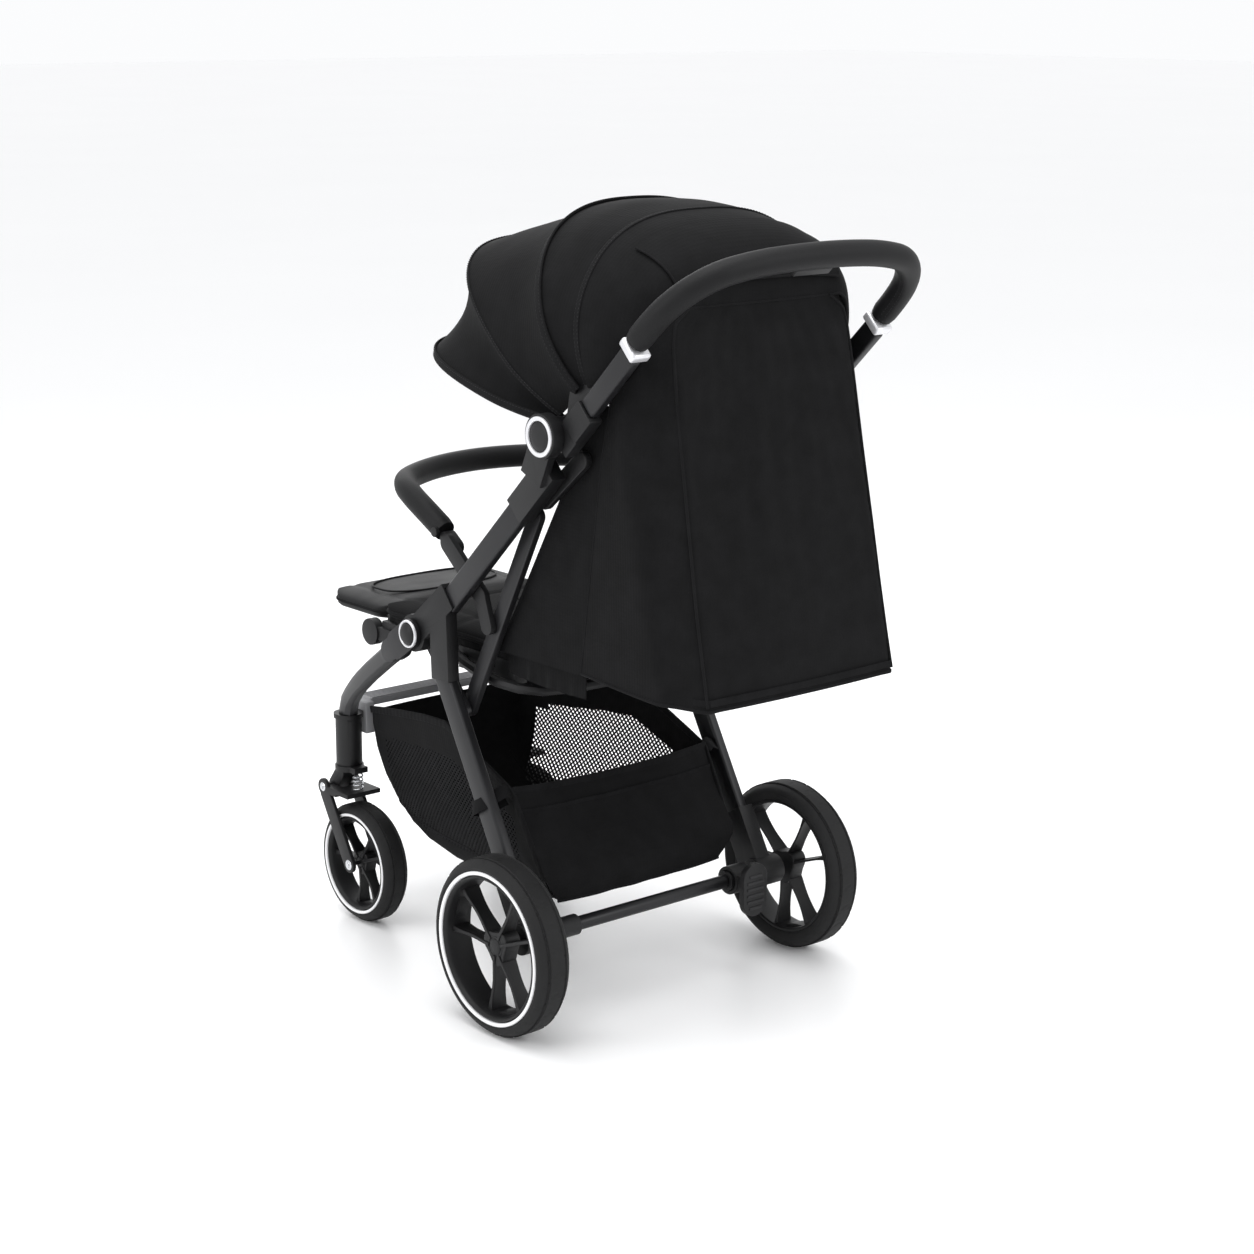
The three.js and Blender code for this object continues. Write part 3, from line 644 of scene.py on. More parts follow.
def blade(wheel, degrees, centre):
    """One spoke: a thin deep blade with a bead along its outer edge, flared at the rim."""
    reach = wheel["rim"] - 6
    start = wheel["hub"] * 0.55
    back, front = -wheel["depth"] / 2 - 1, wheel["depth"] / 2 - 1
    verts = []
    stations = 12
    for i in range(stations):
        t = i / (stations - 1)
        r = start + (reach - start) * t
        thick = 1.5 + 2.6 * max(0.0, t - 0.72) ** 1.5 * 7
        bead = thick + 0.9
        shape = [
            (back, -thick), (front - 4, -thick), (front - 2.6, -bead), (front - 0.6, -bead),
            (front, -bead + 0.7), (front, bead - 0.7), (front - 0.6, bead), (front - 2.6, bead),
            (front - 4, thick), (back, thick),
        ]
        dip = 3.0 * math.sin(math.pi * t) ** 2
        for x, w in shape:
            verts.append(Vector(((x - (dip if x > 0 else -dip)) * MM, r * MM, w * MM)))
    count = 10
    faces = grid_faces(stations, count)
    faces.append(tuple(range(count)))
    faces.append(tuple((stations - 1) * count + k for k in range(count)))
    made = mesh_object("blade", verts, faces, PLASTIC, 45)
    made.data.transform(Matrix.Rotation(math.radians(degrees), 4, "X"))
    made.data.transform(Matrix.Translation(centre))
    return made


def rim_piece(name, wheel):
    """A deep black rim: barrel, three pairs of spokes, a three-cornered hub and its cap."""
    half, outer, hub = wheel["width"] / 2, wheel["rim"] - 4, wheel["hub"]
    centre = at(wheel["x"], wheel["y"], wheel["radius"])
    barrel = [
        (outer, -half + 7), (outer, half - 4), (outer + 1.2, half - 2.2), (outer - 0.8, half - 1.4),
        (outer - 3.4, half - 3.4), (outer - 5, half - 8), (outer - 6.5, 0), (outer - 5, -half + 9),
        (outer - 3, -half + 7), (outer, -half + 7),
    ]
    parts = [lathe_x("barrel", scaled(barrel), centre, PLASTIC, 144, 30)]
    parts += [blade(wheel, angle, centre) for angle in SPOKE_ANGLES]
    lobes = []
    for k in range(72):
        a = 2 * math.pi * k / 72
        swell = 1 + 0.16 * math.cos(3 * (a - math.radians(SPOKE_ANGLES[0] + 20)))
        r = hub * swell * MM
        lobes.append((centre.y + r * math.cos(a), centre.z + r * math.sin(a)))
    x = centre.x
    front = wheel["depth"] / 2
    parts.append(plate_x("hub", lobes, x - (front + 1) * MM, x + (front - 3) * MM, PLASTIC, 0.0016))
    cap = hub * 0.52
    dome = [
        (0, front - 0.4), (cap * 0.55, front - 0.6), (cap * 0.82, front - 1.2),
        (cap * 0.92, front - 2.2),
        (cap * 0.93, front - 2.9), (cap * 1.08, front - 2.9), (cap * 1.12, front - 2.4),
        (cap * 1.2, front - 2.4), (cap * 1.24, front - 3.4), (0, front - 3.6),
    ]
    parts.append(lathe_x("cap", scaled(dome), centre, PLASTIC, 48, 30))
    for angle in SPOKE_ANGLES[::2]:
        parts.append(gusset(wheel, angle + 20.5, centre))
    return joined(name, parts)


def gusset(wheel, degrees, centre):
    """The curved web that closes a pair of spokes at the rim."""
    outer = wheel["rim"] - 5
    depth = wheel["depth"] / 2 - 4
    rows = []
    for i in range(13):
        a = math.radians(degrees - 18 + 36 * i / 12)
        dip = 9 * math.cos(math.pi * (i - 6) / 12)
        row = []
        for x, r in ((-depth, outer - dip), (depth, outer - dip), (depth, outer), (-depth, outer)):
            row.append(centre + Vector((x * MM, r * MM * math.cos(a), r * MM * math.sin(a))))
        rows.append(row)
    return surface("gusset", rows, PLASTIC, 40, loop=True)


for wheel, end in ((REAR_WHEEL, "rear"), (FRONT_WHEEL, "front")):
    for make, suffix, slot, nodes in (
        (tyre_piece, "tyre_tread", "tyre_rubber", [end + "_tyre_{side}"]),
        (ring_piece, "trim_ring", "polished_metal", []),
        (rim_piece, "wheel_rim", "black_plastic", [end + "_rim_{side}"]),
    ):
        both_sides(
            lambda name: make(name, wheel), f"{end}_{suffix}", end + "_wheel_{side}", slot, *nodes
        )

# ---------------------------------------------------------------- frame and mechanism

FINISHES = {
    TUBE.name: "anodised_tube",
    PLASTIC.name: "black_plastic",
    SILVER.name: "polished_metal",
    TREAD.name: "grey_tread",
}
HARD_PARTS = (
    ("rear_leg_{side}", "frame", TUBE, 0.004),
    ("main_tube_{side}", "frame", TUBE, 0.004),
    ("lower_hinge_{side}", "frame", PLASTIC, 0.002),
    ("upper_hinge_{side}", "frame", PLASTIC, 0.002),
    ("rear_axle_housing_{side}", "frame", PLASTIC, 0.002),
    ("bumper_bracket_{side}", "frame", PLASTIC, 0.002),
    ("handle_joint_{side}", "handle", PLASTIC, 0.002),
    ("handle_tube_{side}", "handle", TUBE, 0.004),
    ("handle_collar_{side}", "handle", SILVER, 0.004),
    ("fold_link_{side}", "fold_links", TUBE, 0.0012),
    ("fold_lever_{side}", "fold_levers", PLASTIC, 0.0012),
    ("front_leg_{side}", "front_frame", TUBE, 0.0012),
    ("front_sleeve_{side}", "front_frame", PLASTIC, 0.0012),
    ("caster_housing_{side}", "caster_{side}", PLASTIC, 0.0012),
    ("caster_fork_{side}", "fork_{side}", PLASTIC, 0.0012),
    ("bumper_button_{side}", "button_{side}", PLASTIC, 0.0012),
    ("rear_crossbar", "frame", TUBE, 0.001),
    ("footboard", "front_frame", TREAD, 0.002),
    ("brake_pedal", "brake", PLASTIC, 0.002),
    ("release_lever", "release", PLASTIC, 0.002),
)

for pattern, body, material, edge in HARD_PARTS:
    for side, _ in SIDES if "{side}" in pattern else SIDES[:1]:
        name = pattern.format(side=side)
        piece = refined(name, name + "_shell", material, edge)
        place(piece, body.format(side=side), FINISHES[material.name], name)

# ---------------------------------------------------------------- rings, buttons, spring, treads

HINGE_AT = (240, 50, 829)
LEG_BUTTON_AT = (233, -260, 506)
# name, place, body, material, segments, smoothing and the (radius, outwards) profile
TURNED = (
    ("hinge_ring", HINGE_AT, "frame", SILVER, 96, 30, (
        (20.5, -0.5), (21.2, 1.8), (22.6, 2.8), (25.4, 2.8), (26.6, 1.8), (26.8, -0.5))),
    ("hinge_cap", HINGE_AT, "frame", PLASTIC, 72, 40, (
        (0, 2.6), (12, 2.2), (18, 1.2), (20.2, -0.6), (20.2, -3))),
    ("leg_button", LEG_BUTTON_AT, "front_frame", PLASTIC, 72, 40, (
        (0, 7.5), (8, 7.0), (13, 5.4), (15.6, 3.0), (16.2, 0.5), (16.2, -2))),
    ("leg_button_ring", LEG_BUTTON_AT, "front_frame", SILVER, 72, 30, (
        (16.4, -1), (16.6, 2.2), (17.8, 3.2), (19.4, 2.8), (20.2, 1.2), (20.2, -1))),
)
SPRING_TURNS, SPRING_STEPS, SPRING_RADIUS, SPRING_RISE = 4, 24, 7.6, 25.2


def turned_piece(name, place_at, outwards, profile, material, segments, smooth=30):
    points = [(r * MM, outwards * x * MM) for r, x in profile]
    return lathe_x(name, points, at(*place_at), material, segments, smooth)


for side, sign in SIDES:
    for name, (x, y, z), body, material, segments, smooth, profile in TURNED:
        piece = turned_piece(
            f"{name}_{side}", (sign * x, y, z), sign, profile, material, segments, smooth
        )
        place(piece, body, FINISHES[material.name])
    helix = []
    for i in range(SPRING_TURNS * SPRING_STEPS + 1):
        turn = 2 * math.pi * i / SPRING_STEPS
        rise = 204.3 + SPRING_RISE * i / (SPRING_TURNS * SPRING_STEPS)
        over, behind = SPRING_RADIUS * math.cos(turn), SPRING_RADIUS * math.sin(turn)
        helix.append(at(sign * 160 + over, -503 + behind, rise))
    spring = sweep(f"spring_coil_{side}", helix, circle(0.0012, 10), STEEL)
    place(spring, f"fork_{side}", "spring_steel", f"caster_spring_{side}")
    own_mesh(spring)
    for name, y, z, radius in (("fork_bolt", -555, 201, 7), ("wheel_bolt", -489, 92, 8)):
        for face, x in (("outer", 190), ("inner", 129)):
            out = 1 if face == "outer" else -1
            head = [
                (0, 2.6), (radius * 0.45, 2.6), (radius * 0.5, 1.4), (radius * 0.78, 1.3),
                (radius, 0.2), (radius, -1),
            ]
            bolt = turned_piece(
                f"{name}_{face}_{side}", (sign * x, y, z), sign * out, head, STEEL, 40
            )
            place(bolt, f"fork_{side}", "spring_steel")

ribs = []
for i in range(6):
    y = -549.5 + 5.8 * i
    low, high = at(-120, y, 337.6), at(120, y + 3, 339.3)
    ribs.append(box_piece("rib", low, high, TREAD, 0.0007))
place(joined("footboard_ribs", ribs), "front_frame", "grey_tread")

pedal_ribs = []
for i in range(6):
    z = 93 + 9.6 * i
    half = 16 if 0 < i < 5 else 12
    low, high = at(-155 - half, 49, z), at(-155 + half, 51.6, z + 4)
    pedal_ribs.append(box_piece("rib", low, high, PEDAL, 0.0009))
place(joined("pedal_ribs", pedal_ribs), "brake", "black_plastic")

# ---------------------------------------------------------------- grip and bumper bar

SLOPE = math.radians(44.2)
GRIP_HALF = ((215, 0), (213, 36), (206, 68), (190, 97), (165, 120), (134, 133), (80, 143), (0, 147))
BUMPER_HALF = (
    (194, -222, 655), (195, -262, 676), (190, -304, 692), (176, -340, 700),
    (148, -370, 704), (80, -400, 707), (0, -412, 708),
)


def both_halves(points):
    return points + [Vector((-p.x, p.y, p.z)) for p in reversed(points[:-1])]


def padded_tube(name, path, radius, wanted, material):
    """A leatherette sleeve over a tube, with rolled ends and a sewn seam along one side."""
    count = len(path)

    def section(t):
        end = min(t, 1 - t) * (count - 1)
        swell = radius * (0.9 + 0.1 * min(1.0, end / 2))
        out = []
        for k in range(28):
            a = 2 * math.pi * k / 28
            dip = 1 - 0.05 * math.exp(-((a - wanted) ** 2) / 0.02)
            out.append((swell * dip * math.cos(a), swell * dip * math.sin(a)))
        return out

    return sweep(name, path, section, material, across=(0, 0, 1))


def seam_line(path, radius, wanted, shift):
    out = []
    for point, side, up, _ in frames_along(path, (0, 0, 1)):
        a = wanted + shift
        out.append(point + (side * math.cos(a) + up * math.sin(a)) * radius)
    return out


grip_points = [at(x, 215 + up * math.cos(SLOPE), 967 + up * math.sin(SLOPE)) for x, up in GRIP_HALF]
grip_path = smooth_path(both_halves(grip_points), 121)
bumper_path = smooth_path(both_halves([at(*p) for p in BUMPER_HALF]), 121)
for name, path, radius, body, node_name, wanted in (
    ("grip_sleeve", grip_path, 0.0171, "handle", "handle_grip", math.pi * 1.3),
    ("bumper_sleeve", bumper_path, 0.0168, "bumper", "bumper_bar", math.pi),
):
    place(padded_tube(name, path, radius, wanted, LEATHER), body, "leatherette", node_name)
    seams = [seam_line(path[2:-2], radius * 0.985, wanted, shift) for shift in (-0.17, 0.17)]
    rows = [stitches("row", seam, THREAD) for seam in seams]
    place(joined(f"{name}_stitches", rows), body, "leatherette")

# ---------------------------------------------------------------- hood

HOOD_ROWS = {
    "rear": (101, 869, 93.8, 243, 225.5, 2.7),
    "middle": (101, 869, 122.9, 290, 235.5, 2.5),
    "front": (55, 835, 144, 373, 216.5, 3.2),
    "brim": (55, 835, 168.8, 387, 218.5, 3.6),
}


def bow_row(bow, count=89, grow=0.0):
    """The line over the hood at a bow: pivot place, angle, height, half width and squareness."""
    y, z, angle, height, half, power = bow
    turn = math.radians(angle)
    points = []
    for i in range(241):
        t = math.pi * i / 240
        across = math.copysign(abs(math.cos(t)) ** (2 / power), math.cos(t))
        up = max(math.sin(t) ** (2 / power) * (height + grow), 26)
        narrow = 1 - 0.17 * max(0, 1 - up / 150) ** 2
        over = across * (half + grow) * narrow
        points.append(at(over, y + up * math.cos(turn), z + up * math.sin(turn)))
    return resample(points, count)


def gore_rows(first, last, dip):
    """Rows of a fabric gore stretched between two bows, pulled in by dip midway."""
    rows, steps = [], 15
    for i in range(steps):
        t = i / (steps - 1)
        bow = [a + (b - a) * t for a, b in zip(HOOD_ROWS[first], HOOD_ROWS[last])]
        bow[3] -= dip * 4 * t * (1 - t)
        bow[4] -= dip * 0.6 * 4 * t * (1 - t)
        rows.append(bow_row(bow))
    return rows


def creased(rows, size):
    """Soft creases that fade out at the edges of a panel, from still noise."""
    out = []
    for i, row in enumerate(rows):
        v = i / (len(rows) - 1)
        new = []
        for k, p in enumerate(row):
            u = k / (len(row) - 1)
            fade = min(1, 4 * v * (1 - v)) * min(1, 6 * u * (1 - u))
            push = noise.noise(Vector((p.x * 9, p.y * 14, p.z * 9))) * size * fade
            away = (p - at(0, 60, 800)).normalized()
            new.append(p + away * push)
        out.append(new)
    return out


def cloth(name, rows, material, thickness=0.0014):
    made = surface(name, rows, material)
    return thicken(made, thickness, 0)


def piping(name, line, radius, sides=8):
    return sweep(name, line, circle(radius, sides), PIPING)


def tape(name, line, width, height, edge, across, steps=3):
    return sweep(name, line, rounded_box(width, height, edge, steps), WEBBING, across=across)


GORES = (
    ("hood_gore_middle", "rear", "middle", 3, "handle", "hood_rear_bow", "hood_middle"),
    ("hood_gore_front", "middle", "front", 12, "hood_rear_bow", "hood_front_bow", "hood_front"),
    ("hood_gore_brim", "front", "brim", 26, "hood_front_bow", "hood_visor", "hood_brim"),
)


def apex(bow):
    return bow_row(HOOD_ROWS[bow])[44]


for name, first, last, dip, before, after, node_name in GORES:
    gore = cloth(name, creased(gore_rows(first, last, dip), 0.004), FABRIC)
    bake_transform(gore, before, after, start=tuple(apex(first)), end=tuple(apex(last)))
    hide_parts(node_name)

BANDS = (
    ("rear", "handle", 5.0), ("middle", "hood_rear_bow", 6.5), ("front", "hood_front_bow", 3.0),
    ("brim", "hood_visor", 6.0),
)
for bow, body, width in BANDS:
    turn = math.radians(HOOD_ROWS[bow][2])
    normal = (0, -math.sin(turn), math.cos(turn))
    line = bow_row(HOOD_ROWS[bow], 121, 0.4)
    shape = rounded_box(2 * width * MM, 0.0026, 0.0012, 3)
    band = sweep(f"hood_band_{bow}", line, shape, PIPING, across=normal)
    place(band, body, "woven_fabric")
    rows = []
    for shift in (-0.62, 0.62):
        over = bow_row(HOOD_ROWS[bow], 241, 1.9)
        moved = [p + Vector(normal) * shift * width * MM for p in over]
        rows.append(stitches("row", moved, THREAD, thick=0.0004))
    place(joined(f"hood_band_stitches_{bow}", rows), body, "woven_fabric")

MOUNT_OUTLINE = (
    (40, 846), (60, 858), (64, 880), (70, 905), (92, 918), (116, 912), (126, 892), (112, 872),
    (92, 852), (66, 838), (46, 836),
)
for side, sign in SIDES:
    low, high = sorted((sign * 194.5, sign * 202.5))
    outline = [(at(0, y, z).y, at(0, y, z).z) for y, z in MOUNT_OUTLINE]
    mount = plate_x(f"hood_mount_{side}", outline, low * MM, high * MM, PLASTIC, 0.002)
    place(mount, "handle", "black_plastic")

edge_line = bow_row(HOOD_ROWS["middle"], 121, 1.6)
tilt = math.radians(HOOD_ROWS["middle"][2])
normal = Vector((0, math.sin(tilt), -math.cos(tilt)))
middle_line = [p + normal * 0.0075 for p in edge_line]
place(piping("hood_middle_piping", middle_line, 0.0017, 10), "hood_rear_bow", "woven_fabric")

REAR_HEM = [
    (188, 112, 886), (188, 132, 890), (186, 172, 925), (172, 191, 974), (150, 203, 999),
    (120, 206, 1001), (0, 207, 1001),
]
hem_half = [at(*p) for p in REAR_HEM]
hem_row = smooth_path(both_halves(hem_half), 89)
top_row = bow_row(HOOD_ROWS["rear"])


def rear_panel_point(k, s):
    """A place on the hood's rear panel: k along its width, s from the bow down to the hem."""
    top, low = top_row[k], hem_row[k]
    u = 2 * k / 88 - 1
    swell = max(0.0, 1 - abs(u) ** 2.4)
    control = (top + low) / 2 + Vector((0, 0.076, 0.028)) * swell + Vector((0.012 * -u, 0, 0))
    return top * (1 - s) ** 2 + control * 2 * s * (1 - s) + low * s * s


panel_rows = [[rear_panel_point(k, i / 18) for k in range(89)] for i in range(19)]
rear_panel = cloth("hood_rear_panel", creased(panel_rows, 0.003), FABRIC)
place(rear_panel, "handle", "woven_fabric", "hood_rear")
flap_rows = []
for i in range(13):
    s = 0.2 + 0.62 * i / 12
    row = []
    for k in range(25, 64):
        row.append(rear_panel_point(k, s) + Vector((0, 0.0028, 0.0024)))
    flap_rows.append(row)
flap = cloth("hood_window_flap", flap_rows, FABRIC, 0.0018)
place(flap, "handle", "woven_fabric")
flap_edge = [row[0] for row in flap_rows] + flap_rows[-1][1:-1]
flap_edge += [row[-1] for row in reversed(flap_rows)]
hem_line = smooth_path(both_halves(hem_half), 121)
place(piping("hood_flap_piping", resample(flap_edge, 121), 0.0016), "handle", "woven_fabric")
place(piping("hood_hem_piping", hem_line, 0.002, 10), "handle", "woven_fabric")

# ---------------------------------------------------------------- back cover

COVER_ROWS = (
    (1001, (142, 194), (147, 198), (122, 206.5), 206.5),
    (984, (160, 172), (162, 191), (146, 208), 208.5),
    (960, (172, 156), (174, 184), (152, 211), 213.5),
    (930, (179, 146), (181, 176), (154, 216), 219),
    (880, (188, 132), (190, 160), (156, 224.5), 229),
    (800, (186, 112), (192, 164), (158, 239), 245),
    (700, (181, 92), (192, 186), (161, 258), 265),
    (620, (179, 78), (191, 202), (163, 273), 281),
    (550, (178, 67), (190, 216), (164, 288), 295),
    (505, (178, 60), (190, 228), (165, 298), 301),
)


def cover_section(row):
    z, front, side, corner, rear = row
    between = at((front[0] + side[0]) / 2 + 1.5, (front[1] + side[1]) / 2, z)
    left = [at(*front, z), between, at(*side, z)]
    gusset_rear = [
        at(side[0] + (corner[0] - side[0]) * t, side[1] + (corner[1] - side[1]) * t, z)
        for t in (0.33, 0.66)
    ]
    crown = [
        at(corner[0] * (1 - t), corner[1] + (rear - corner[1]) * (1 - (1 - t) ** 2.2), z)
        for t in (0.0, 0.12, 0.4, 0.7, 1.0)
    ]
    half = left + gusset_rear + crown
    return smooth_path(both_halves(half), 97)


def lerp_row(a, b, t):
    mix = lambda p, q: tuple(u + (v - u) * t for u, v in zip(p, q))
    height, rear = mix((a[0], a[4]), (b[0], b[4]))
    return height, mix(a[1], b[1]), mix(a[2], b[2]), mix(a[3], b[3]), rear


cover_rows = []
for upper, lower in zip(COVER_ROWS, COVER_ROWS[1:]):
    cover_rows += [cover_section(lerp_row(upper, lower, t / 5)) for t in range(5)]
cover_rows.append(cover_section(COVER_ROWS[-1]))


def wrinkled_cover(rows):
    """Long soft folds that run down from the top corners, and a lower edge that hangs a little."""
    out = []
    for i, row in enumerate(rows):
        v = i / (len(rows) - 1)
        new = []
        for k, p in enumerate(row):
            u = 2 * k / (len(row) - 1) - 1
            fade = math.sin(math.pi * v) ** 0.7
            push = 0.005 * fade * noise.noise(Vector((u * 3.2 + v * 0.8, v * 2.2, 3.0)))
            push += 0.0016 * fade * noise.noise(Vector((u * 14, v * 5, 9.0)))
            hang = -0.006 * v ** 10 * (1 - abs(u) ** 2)
            new.append(p + Vector((0, push if abs(u) < 0.62 else 0, hang)))
        out.append(new)
    return out


cover_rows = wrinkled_cover(cover_rows)
BLEND_COVER = {"start": tuple(at(0, 230, 640)), "end": tuple(at(0, 210, 980))}
cover = cloth("back_cover_cloth", cover_rows, FABRIC, 0.0018)
cover_trim = []
for _, sign in SIDES:
    corner = [at(sign * (row[3][0] + 0.6), row[3][1] + 0.8, row[0]) for row in COVER_ROWS]
    cover_trim.append(piping("seam", resample(corner, 81), 0.0021, 10))
front_edges = [[row[0] for row in cover_rows], [row[-1] for row in cover_rows]]
cover_trim += [piping("edge", resample(edge, 81), 0.0019) for edge in front_edges]
cover_trim.append(piping("hem", cover_rows[-1], 0.0026, 10))
trim = joined("back_cover_piping", cover_trim)
for piece in (cover, trim):
    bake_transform(piece, "frame", "handle", **BLEND_COVER)
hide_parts("back_cover")

# ---------------------------------------------------------------- basket

BAG_STATIONS = (
    (-489, 330, 329, 142, 138), (-486, 331, 290, 143, 136), (-481, 332, 255, 144, 133),
    (-470, 334, 222, 146, 129), (-450, 338, 186, 149, 122), (-422, 343, 155, 154, 115),
    (-380, 350, 139, 160, 116), (-310, 361, 130, 171, 120), (-248, 366, 131, 178, 126),
    (-190, 342, 134, 179, 132), (-130, 318, 139, 179, 138), (-92, 302, 143, 179, 142),
    (-62, 250, 148, 177, 146), (-44, 216, 151, 175, 148), (-26, 190, 154, 174, 150),
)
BAG_FINE = 8


def bag_section(y, rim, low, top_half, low_half):
    """One cross-section of the basket, which sags in the middle and bellies at its lower corners."""
    sag = 5 * math.sin(math.pi * min(1, max(0, (y + 489) / 460)))
    span = rim - low
    half = [
        at(top_half, y, rim),
        at(top_half - (top_half - low_half) * 0.16 - 1, y, rim - span * 0.3),
        at(top_half - (top_half - low_half) * 0.42, y, rim - span * 0.62),
        at(low_half + (top_half - low_half) * 0.16, y, low + span * 0.13),
        at(low_half * 0.93, y, low + span * 0.015),
        at(low_half * 0.5, y, low - sag * 0.4 + 1.5),
        at(0, y, low - sag * 0.7 + 2),
    ]
    return smooth_path(both_halves(half), 73)


bag_rows = []
for first, last in zip(BAG_STATIONS, BAG_STATIONS[1:]):
    for i in range(BAG_FINE):
        mixed = [p + (q - p) * i / BAG_FINE for p, q in zip(first, last)]
        bag_rows.append(bag_section(*mixed))
bag_rows.append(bag_section(*BAG_STATIONS[-1]))

REAR_WALL = (
    (-27, 153, 150), (-22, 190, 175), (-38, 218, 176), (-62, 250, 178), (-78, 278, 179),
    (-91, 303, 179.5),
)


def wall_row(y, z, half):
    """A line across the basket's rear wall, from one side to the other, bowed a little to the rear."""
    row = []
    for k in range(49):
        u = 2 * k / 48 - 1
        hang = -5 * (1 - u * u) * (z - 150) / 150
        crease = 2.5 * noise.noise(Vector((u * 4, z * 0.02, 5.0))) * (1 - u * u)
        row.append(at(u * half, y + 7 * (1 - u ** 4) + crease, z + hang))
    return row


wall_rows = smoothed_rows([wall_row(*knot) for knot in REAR_WALL], 31)
wall = cloth("basket_rear_wall", wall_rows, FABRIC)
bag = surface("basket_bag", bag_rows, FABRIC)
bag.data.materials.append(NETTING)
for face in bag.data.polygons:
    middle = face.center
    up = middle.z - at(0, 0, 126).z
    behind = (middle.y - AXLE.y) / MM
    rim_height = float(np.interp(behind, *list(zip(*BAG_STATIONS))[:2])) * MM
    side_wall = abs(middle.x) > 0.118 and 0.034 < up and middle.z < rim_height - 0.045
    if side_wall and -450 < behind < -96:
        face.material_index = 1
thicken(bag, 0.0014, 0)

bag_trim = []
for end in (0, -1):
    edge = [row[end] for row in bag_rows]
    bag_trim.append(tape("rim", resample(edge, 141), 0.004, 0.011, 0.0018, (1, 0, 0)))
bag_trim.append(tape("lip", wall_rows[-1], 0.004, 0.014, 0.0018, (0, 1, 0)))
bag_trim.append(piping("welt", wall_rows[0], 0.0024))
tape_line = [p + Vector((0, 0.0012, 0)) for p in wall_rows[25]]
bag_trim.append(tape("tape", tape_line, 0.0016, 0.007, 0.0007, (0, 1, 0)))
for k in (20, 52):
    seam = [row[k] for row in bag_rows[24:]]
    bag_trim.append(piping("seam", resample(seam, 121), 0.0019))
bag_trim = joined("basket_trim", bag_trim)
BLEND_BAG = {"start": tuple(at(0, -170, 300)), "end": tuple(at(0, -470, 300))}
for piece in (bag, wall, bag_trim):
    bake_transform(piece, "frame", "front_frame", **BLEND_BAG)
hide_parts("basket")

for side, sign in SIDES:
    loop_line = [at(sign * x, y, z) for x, y, z in (
        (181, -92, 300), (190, -94, 306), (204, -98, 300), (224.5, -102, 292), (225, -122, 280),
        (204, -126, 276), (190, -118, 282), (181, -106, 290),
    )]
    line, lean = smooth_path(loop_line, 61), (0, 0.55, 0.83)
    loop = tape(f"basket_strap_{side}", line, 0.0016, 0.02, 0.0007, lean, 2)
    place(loop, "frame", "woven_fabric")

# ---------------------------------------------------------------- seat, backrest, footrest and harness


def cushion(name, half, y0, y1, z0, z1, corner, channels, material, waist=0.0):
    """A crowned pad with rolled edges, a sewn welt round it and stitched channels across it."""
    across, along = 61, 81
    length, height = y1 - y0, z1 - z0

    def plan(u, v):
        x, y = u * half, (y0 + y1) / 2 + v * length / 2
        over_x, over_y = abs(x) - (half - corner), abs(y - (y0 + y1) / 2) - (length / 2 - corner)
        if over_x > 0 and over_y > 0:
            angle = math.hypot(over_x, over_y)
            if angle > corner:
                x = math.copysign(half - corner + over_x * corner / angle, x)
                y = (y0 + y1) / 2 + math.copysign(length / 2 - corner + over_y * corner / angle, v)
        x *= 1 - waist * math.cos(math.pi * v / 2) ** 2
        return x, y

    def top(u, v, y):
        edge = min(1 - abs(u) ** 6, 1 - abs(v) ** 8)
        rise = max(edge, 0.0) ** 0.42
        crown = 0.80 + 0.2 * (1 - u * u) * (1 - v ** 4)
        dent = sum(0.2 * math.exp(-((y - line) / 4.5) ** 2) for line in channels)
        dent += 0.12 * math.exp(-((abs(u) - 0.72) / 0.035) ** 2)
        soft = 0.03 * noise.noise(Vector((u * 3, v * 4, z0 * 0.01)))
        return z0 + height * (0.36 + 0.64 * rise * (crown - dent * rise + soft))

    rows = []
    for j in range(along):
        v = math.sin(math.pi * (j / (along - 1) - 0.5))
        row = []
        for i in range(across):
            u = math.sin(math.pi * (i / (across - 1) - 0.5))
            x, y = plan(u, v)
            row.append(at(x, y, top(u, v, y)))
        rows.append(row)
    verts = [p for row in rows for p in row]
    faces = grid_faces(along, across, loop=False)
    rim = list(range(across))
    rim += [j * across + across - 1 for j in range(1, along)]
    rim += [(along - 1) * across + i for i in range(across - 2, -1, -1)]
    rim += [j * across for j in range(along - 2, 0, -1)]
    middle = at(0, (y0 + y1) / 2, z0)
    levels = ((0.995, 0.14), (0.97, 0.02))
    last = rim
    for shrink, level in levels:
        base = len(verts)
        for index in rim:
            p = verts[index]
            y = middle.y + (p.y - middle.y) * shrink
            verts.append(Vector((p.x * shrink, y, (z0 + height * level) * MM)))
        ring = list(range(base, base + len(rim)))
        for k in range(len(rim)):
            n = (k + 1) % len(rim)
            faces.append((last[n], last[k], ring[k], ring[n]))
        last = ring
    faces.append(tuple(last))
    made = mesh_object(name, verts, faces, material, 60)
    welt_line = [verts[i] + Vector((0, 0, -0.0004)) for i in rim]
    return made, resample(welt_line + [welt_line[0]], 201)


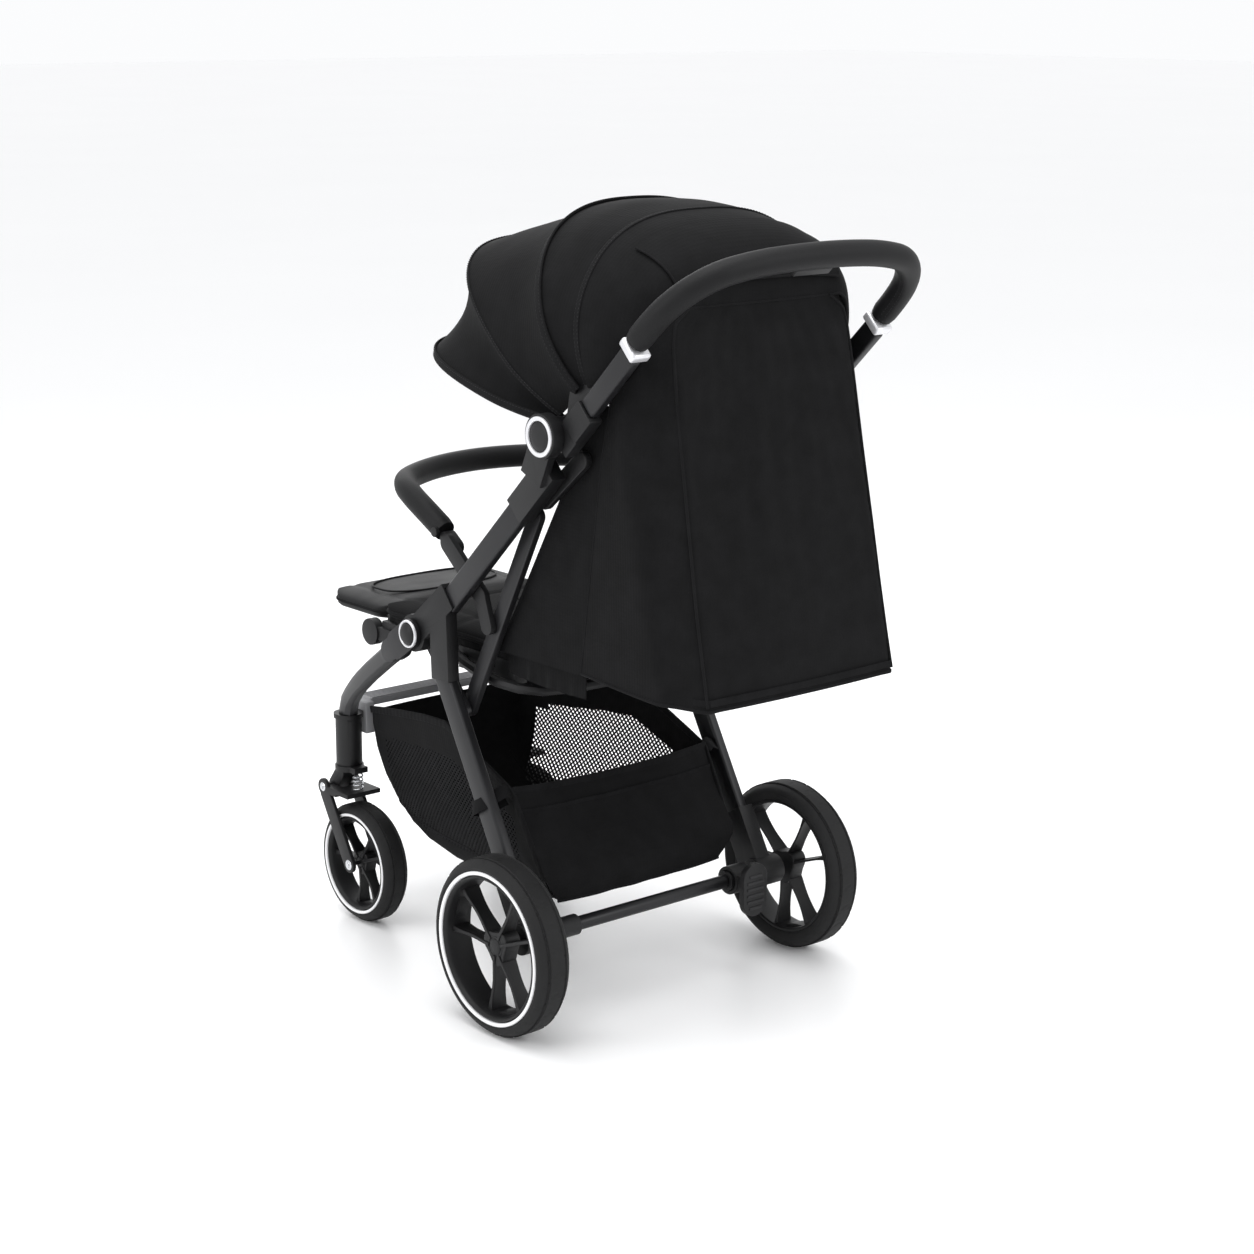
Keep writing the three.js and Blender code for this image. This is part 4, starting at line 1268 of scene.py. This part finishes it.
# name, node, body, half width, y and z limits and corner, channels, material, waist
PADS = (
    ("seat_cushion", "seat_pad", "frame", (164, -429, -63, 490.5, 518, 30),
     (-150, -250, -350), FABRIC, 0.02),
    ("backrest_cushion", "backrest_pad", "backrest", (148, -55, 280, 513.5, 532, 28),
     (20, 100, 180), FABRIC, 0.0),
    ("footrest_cushion", "footrest", "foot_support", (146, -595, -437, 477, 506.5, 38),
     (), LEATHER, 0.0),
)
for name, node_name, body, shape, channels, material, waist in PADS:
    pad, welt_line = cushion(name, *shape, channels, material, waist)
    finish = "leatherette" if material is LEATHER else "woven_fabric"
    place(pad, body, finish, node_name)
    welt = sweep(name + "_welt", welt_line, circle(0.0022, 10), PIPING, caps=False)
    place(welt, body, finish)

oval = []
for k in range(121):
    a = 2 * math.pi * k / 120
    x = 104 * math.copysign(abs(math.cos(a)) ** 0.7, math.cos(a))
    y = -518 + 50 * math.copysign(abs(math.sin(a)) ** 0.7, math.sin(a))
    oval.append(at(x, y, 506.4))
ring = sweep("footrest_oval", oval, circle(0.0016, 8), LEATHER, caps=False)
place(ring, "foot_support", "leatherette")

for name, body, material, finish, edge in (
    ("seat_base", "frame", PLASTIC, "black_plastic", 0.0015),
    ("backrest_board", "backrest", LINING, "woven_fabric", 0.003),
    ("harness_buckle", "frame", PLASTIC, "black_plastic", 0.003),
):
    place(refined(name, name + "_shell", material, edge), body, finish, name)
BUTTON_TURN = Matrix.Rotation(math.radians(90), 4, "Y")
buckle_press = disc_x("buckle_press", 0.011, -0.0015, 0.0015, Vector(), LEATHER, 0.0008, 48)
buckle_press.data.transform(Matrix.Translation(at(0, -238, 532.4)) @ BUTTON_TURN)
place(buckle_press, "frame", "leatherette")


def strap(name, points, body, width=0.025):
    line = smooth_path([at(*p) for p in points], 61)
    across = (1, 0, 0) if abs(line[0].x - line[-1].x) < 0.08 else (0, 1, 0)
    made = sweep(name, line, rounded_box(width, 0.0018, 0.0008, 3), WEBBING, across=across)
    return place(made, body, "woven_fabric")


WAIST = ((24, -236, 524), (60, -222, 519.5), (110, -196, 518.6), (148, -176, 517))
SHOULDER = (
    (42, -40, 531.5), (44, 40, 533), (46, 120, 533.6), (48, 200, 533), (48, 226, 531),
)
CROTCH = ((0, -266, 524), (0, -282, 519.8), (0, -300, 518.4), (0, -318, 517))
for side, sign in SIDES:
    for name, points, body in (("waist", WAIST, "frame"), ("shoulder", SHOULDER, "backrest")):
        strap(f"{name}_strap_{side}", [(sign * x, y, z) for x, y, z in points], body)
strap("crotch_strap", CROTCH, "frame", 0.03)

skirt_rows = []
SKIRT_PLAN = (
    (168, 58), (170, -30), (164, -90), (158, -150), (158, -300), (156, -400), (140, -428),
    (80, -434), (0, -436),
)
skirt_plan = [at(*p, 500) for p in SKIRT_PLAN]
skirt_line = smooth_path(both_halves(skirt_plan), 361)
for i in range(7):
    v = i / 6
    row = []
    for k, p in enumerate(skirt_line):
        ruffle = math.sin(k * 0.42) + 0.5 * math.sin(k * 0.93 + 1)
        away = Vector((p.x, (p.y - AXLE.y + 0.2) * 0.4, 0)).normalized()
        row.append(p + away * (0.0022 * ruffle * v) + Vector((0, 0, -0.034 * v + 0.0012 * ruffle * v)))
    skirt_rows.append(row)
place(cloth("seat_skirt", skirt_rows, FABRIC, 0.0011), "frame", "woven_fabric")

# the cover's side gussets run forward and down to the seat, inside the folding links
GUSSET_ROWS = (
    (872, 184, 134, 100), (800, 182, 114, 54), (720, 180, 96, 6), (640, 179, 82, -42),
    (560, 178.5, 69, -90), (500, 178, 62, -132),
)
for side, sign in SIDES:
    gusset_knots = []
    for z, half, rear, front in GUSSET_ROWS:
        line = []
        for k in range(25):
            t = k / 24
            push = 3.5 * noise.noise(Vector((t * 3, z * 0.012, 2.0 + sign))) * math.sin(math.pi * t)
            line.append(at(sign * (half - 2 + push), rear + 4 + (front - rear) * t, z))
        gusset_knots.append(line)
    rows = smoothed_rows(gusset_knots, 41)
    panel = cloth(f"side_gusset_{side}", rows, FABRIC)
    binding = piping("binding", [row[-1] for row in rows], 0.0022)
    panel = joined(f"side_gusset_{side}", [panel, binding])
    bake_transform(panel, "frame", "handle", **BLEND_COVER)

# ---------------------------------------------------------------- zip

zip_line = [cover_rows[-1][k] + Vector((0, 0.0012, 0.011)) for k in range(26, 71)]
zip_tape = tape("cover_zip_tape", zip_line, 0.0018, 0.009, 0.0008, (0, 1, 0))
place(zip_tape, "frame", "woven_fabric")
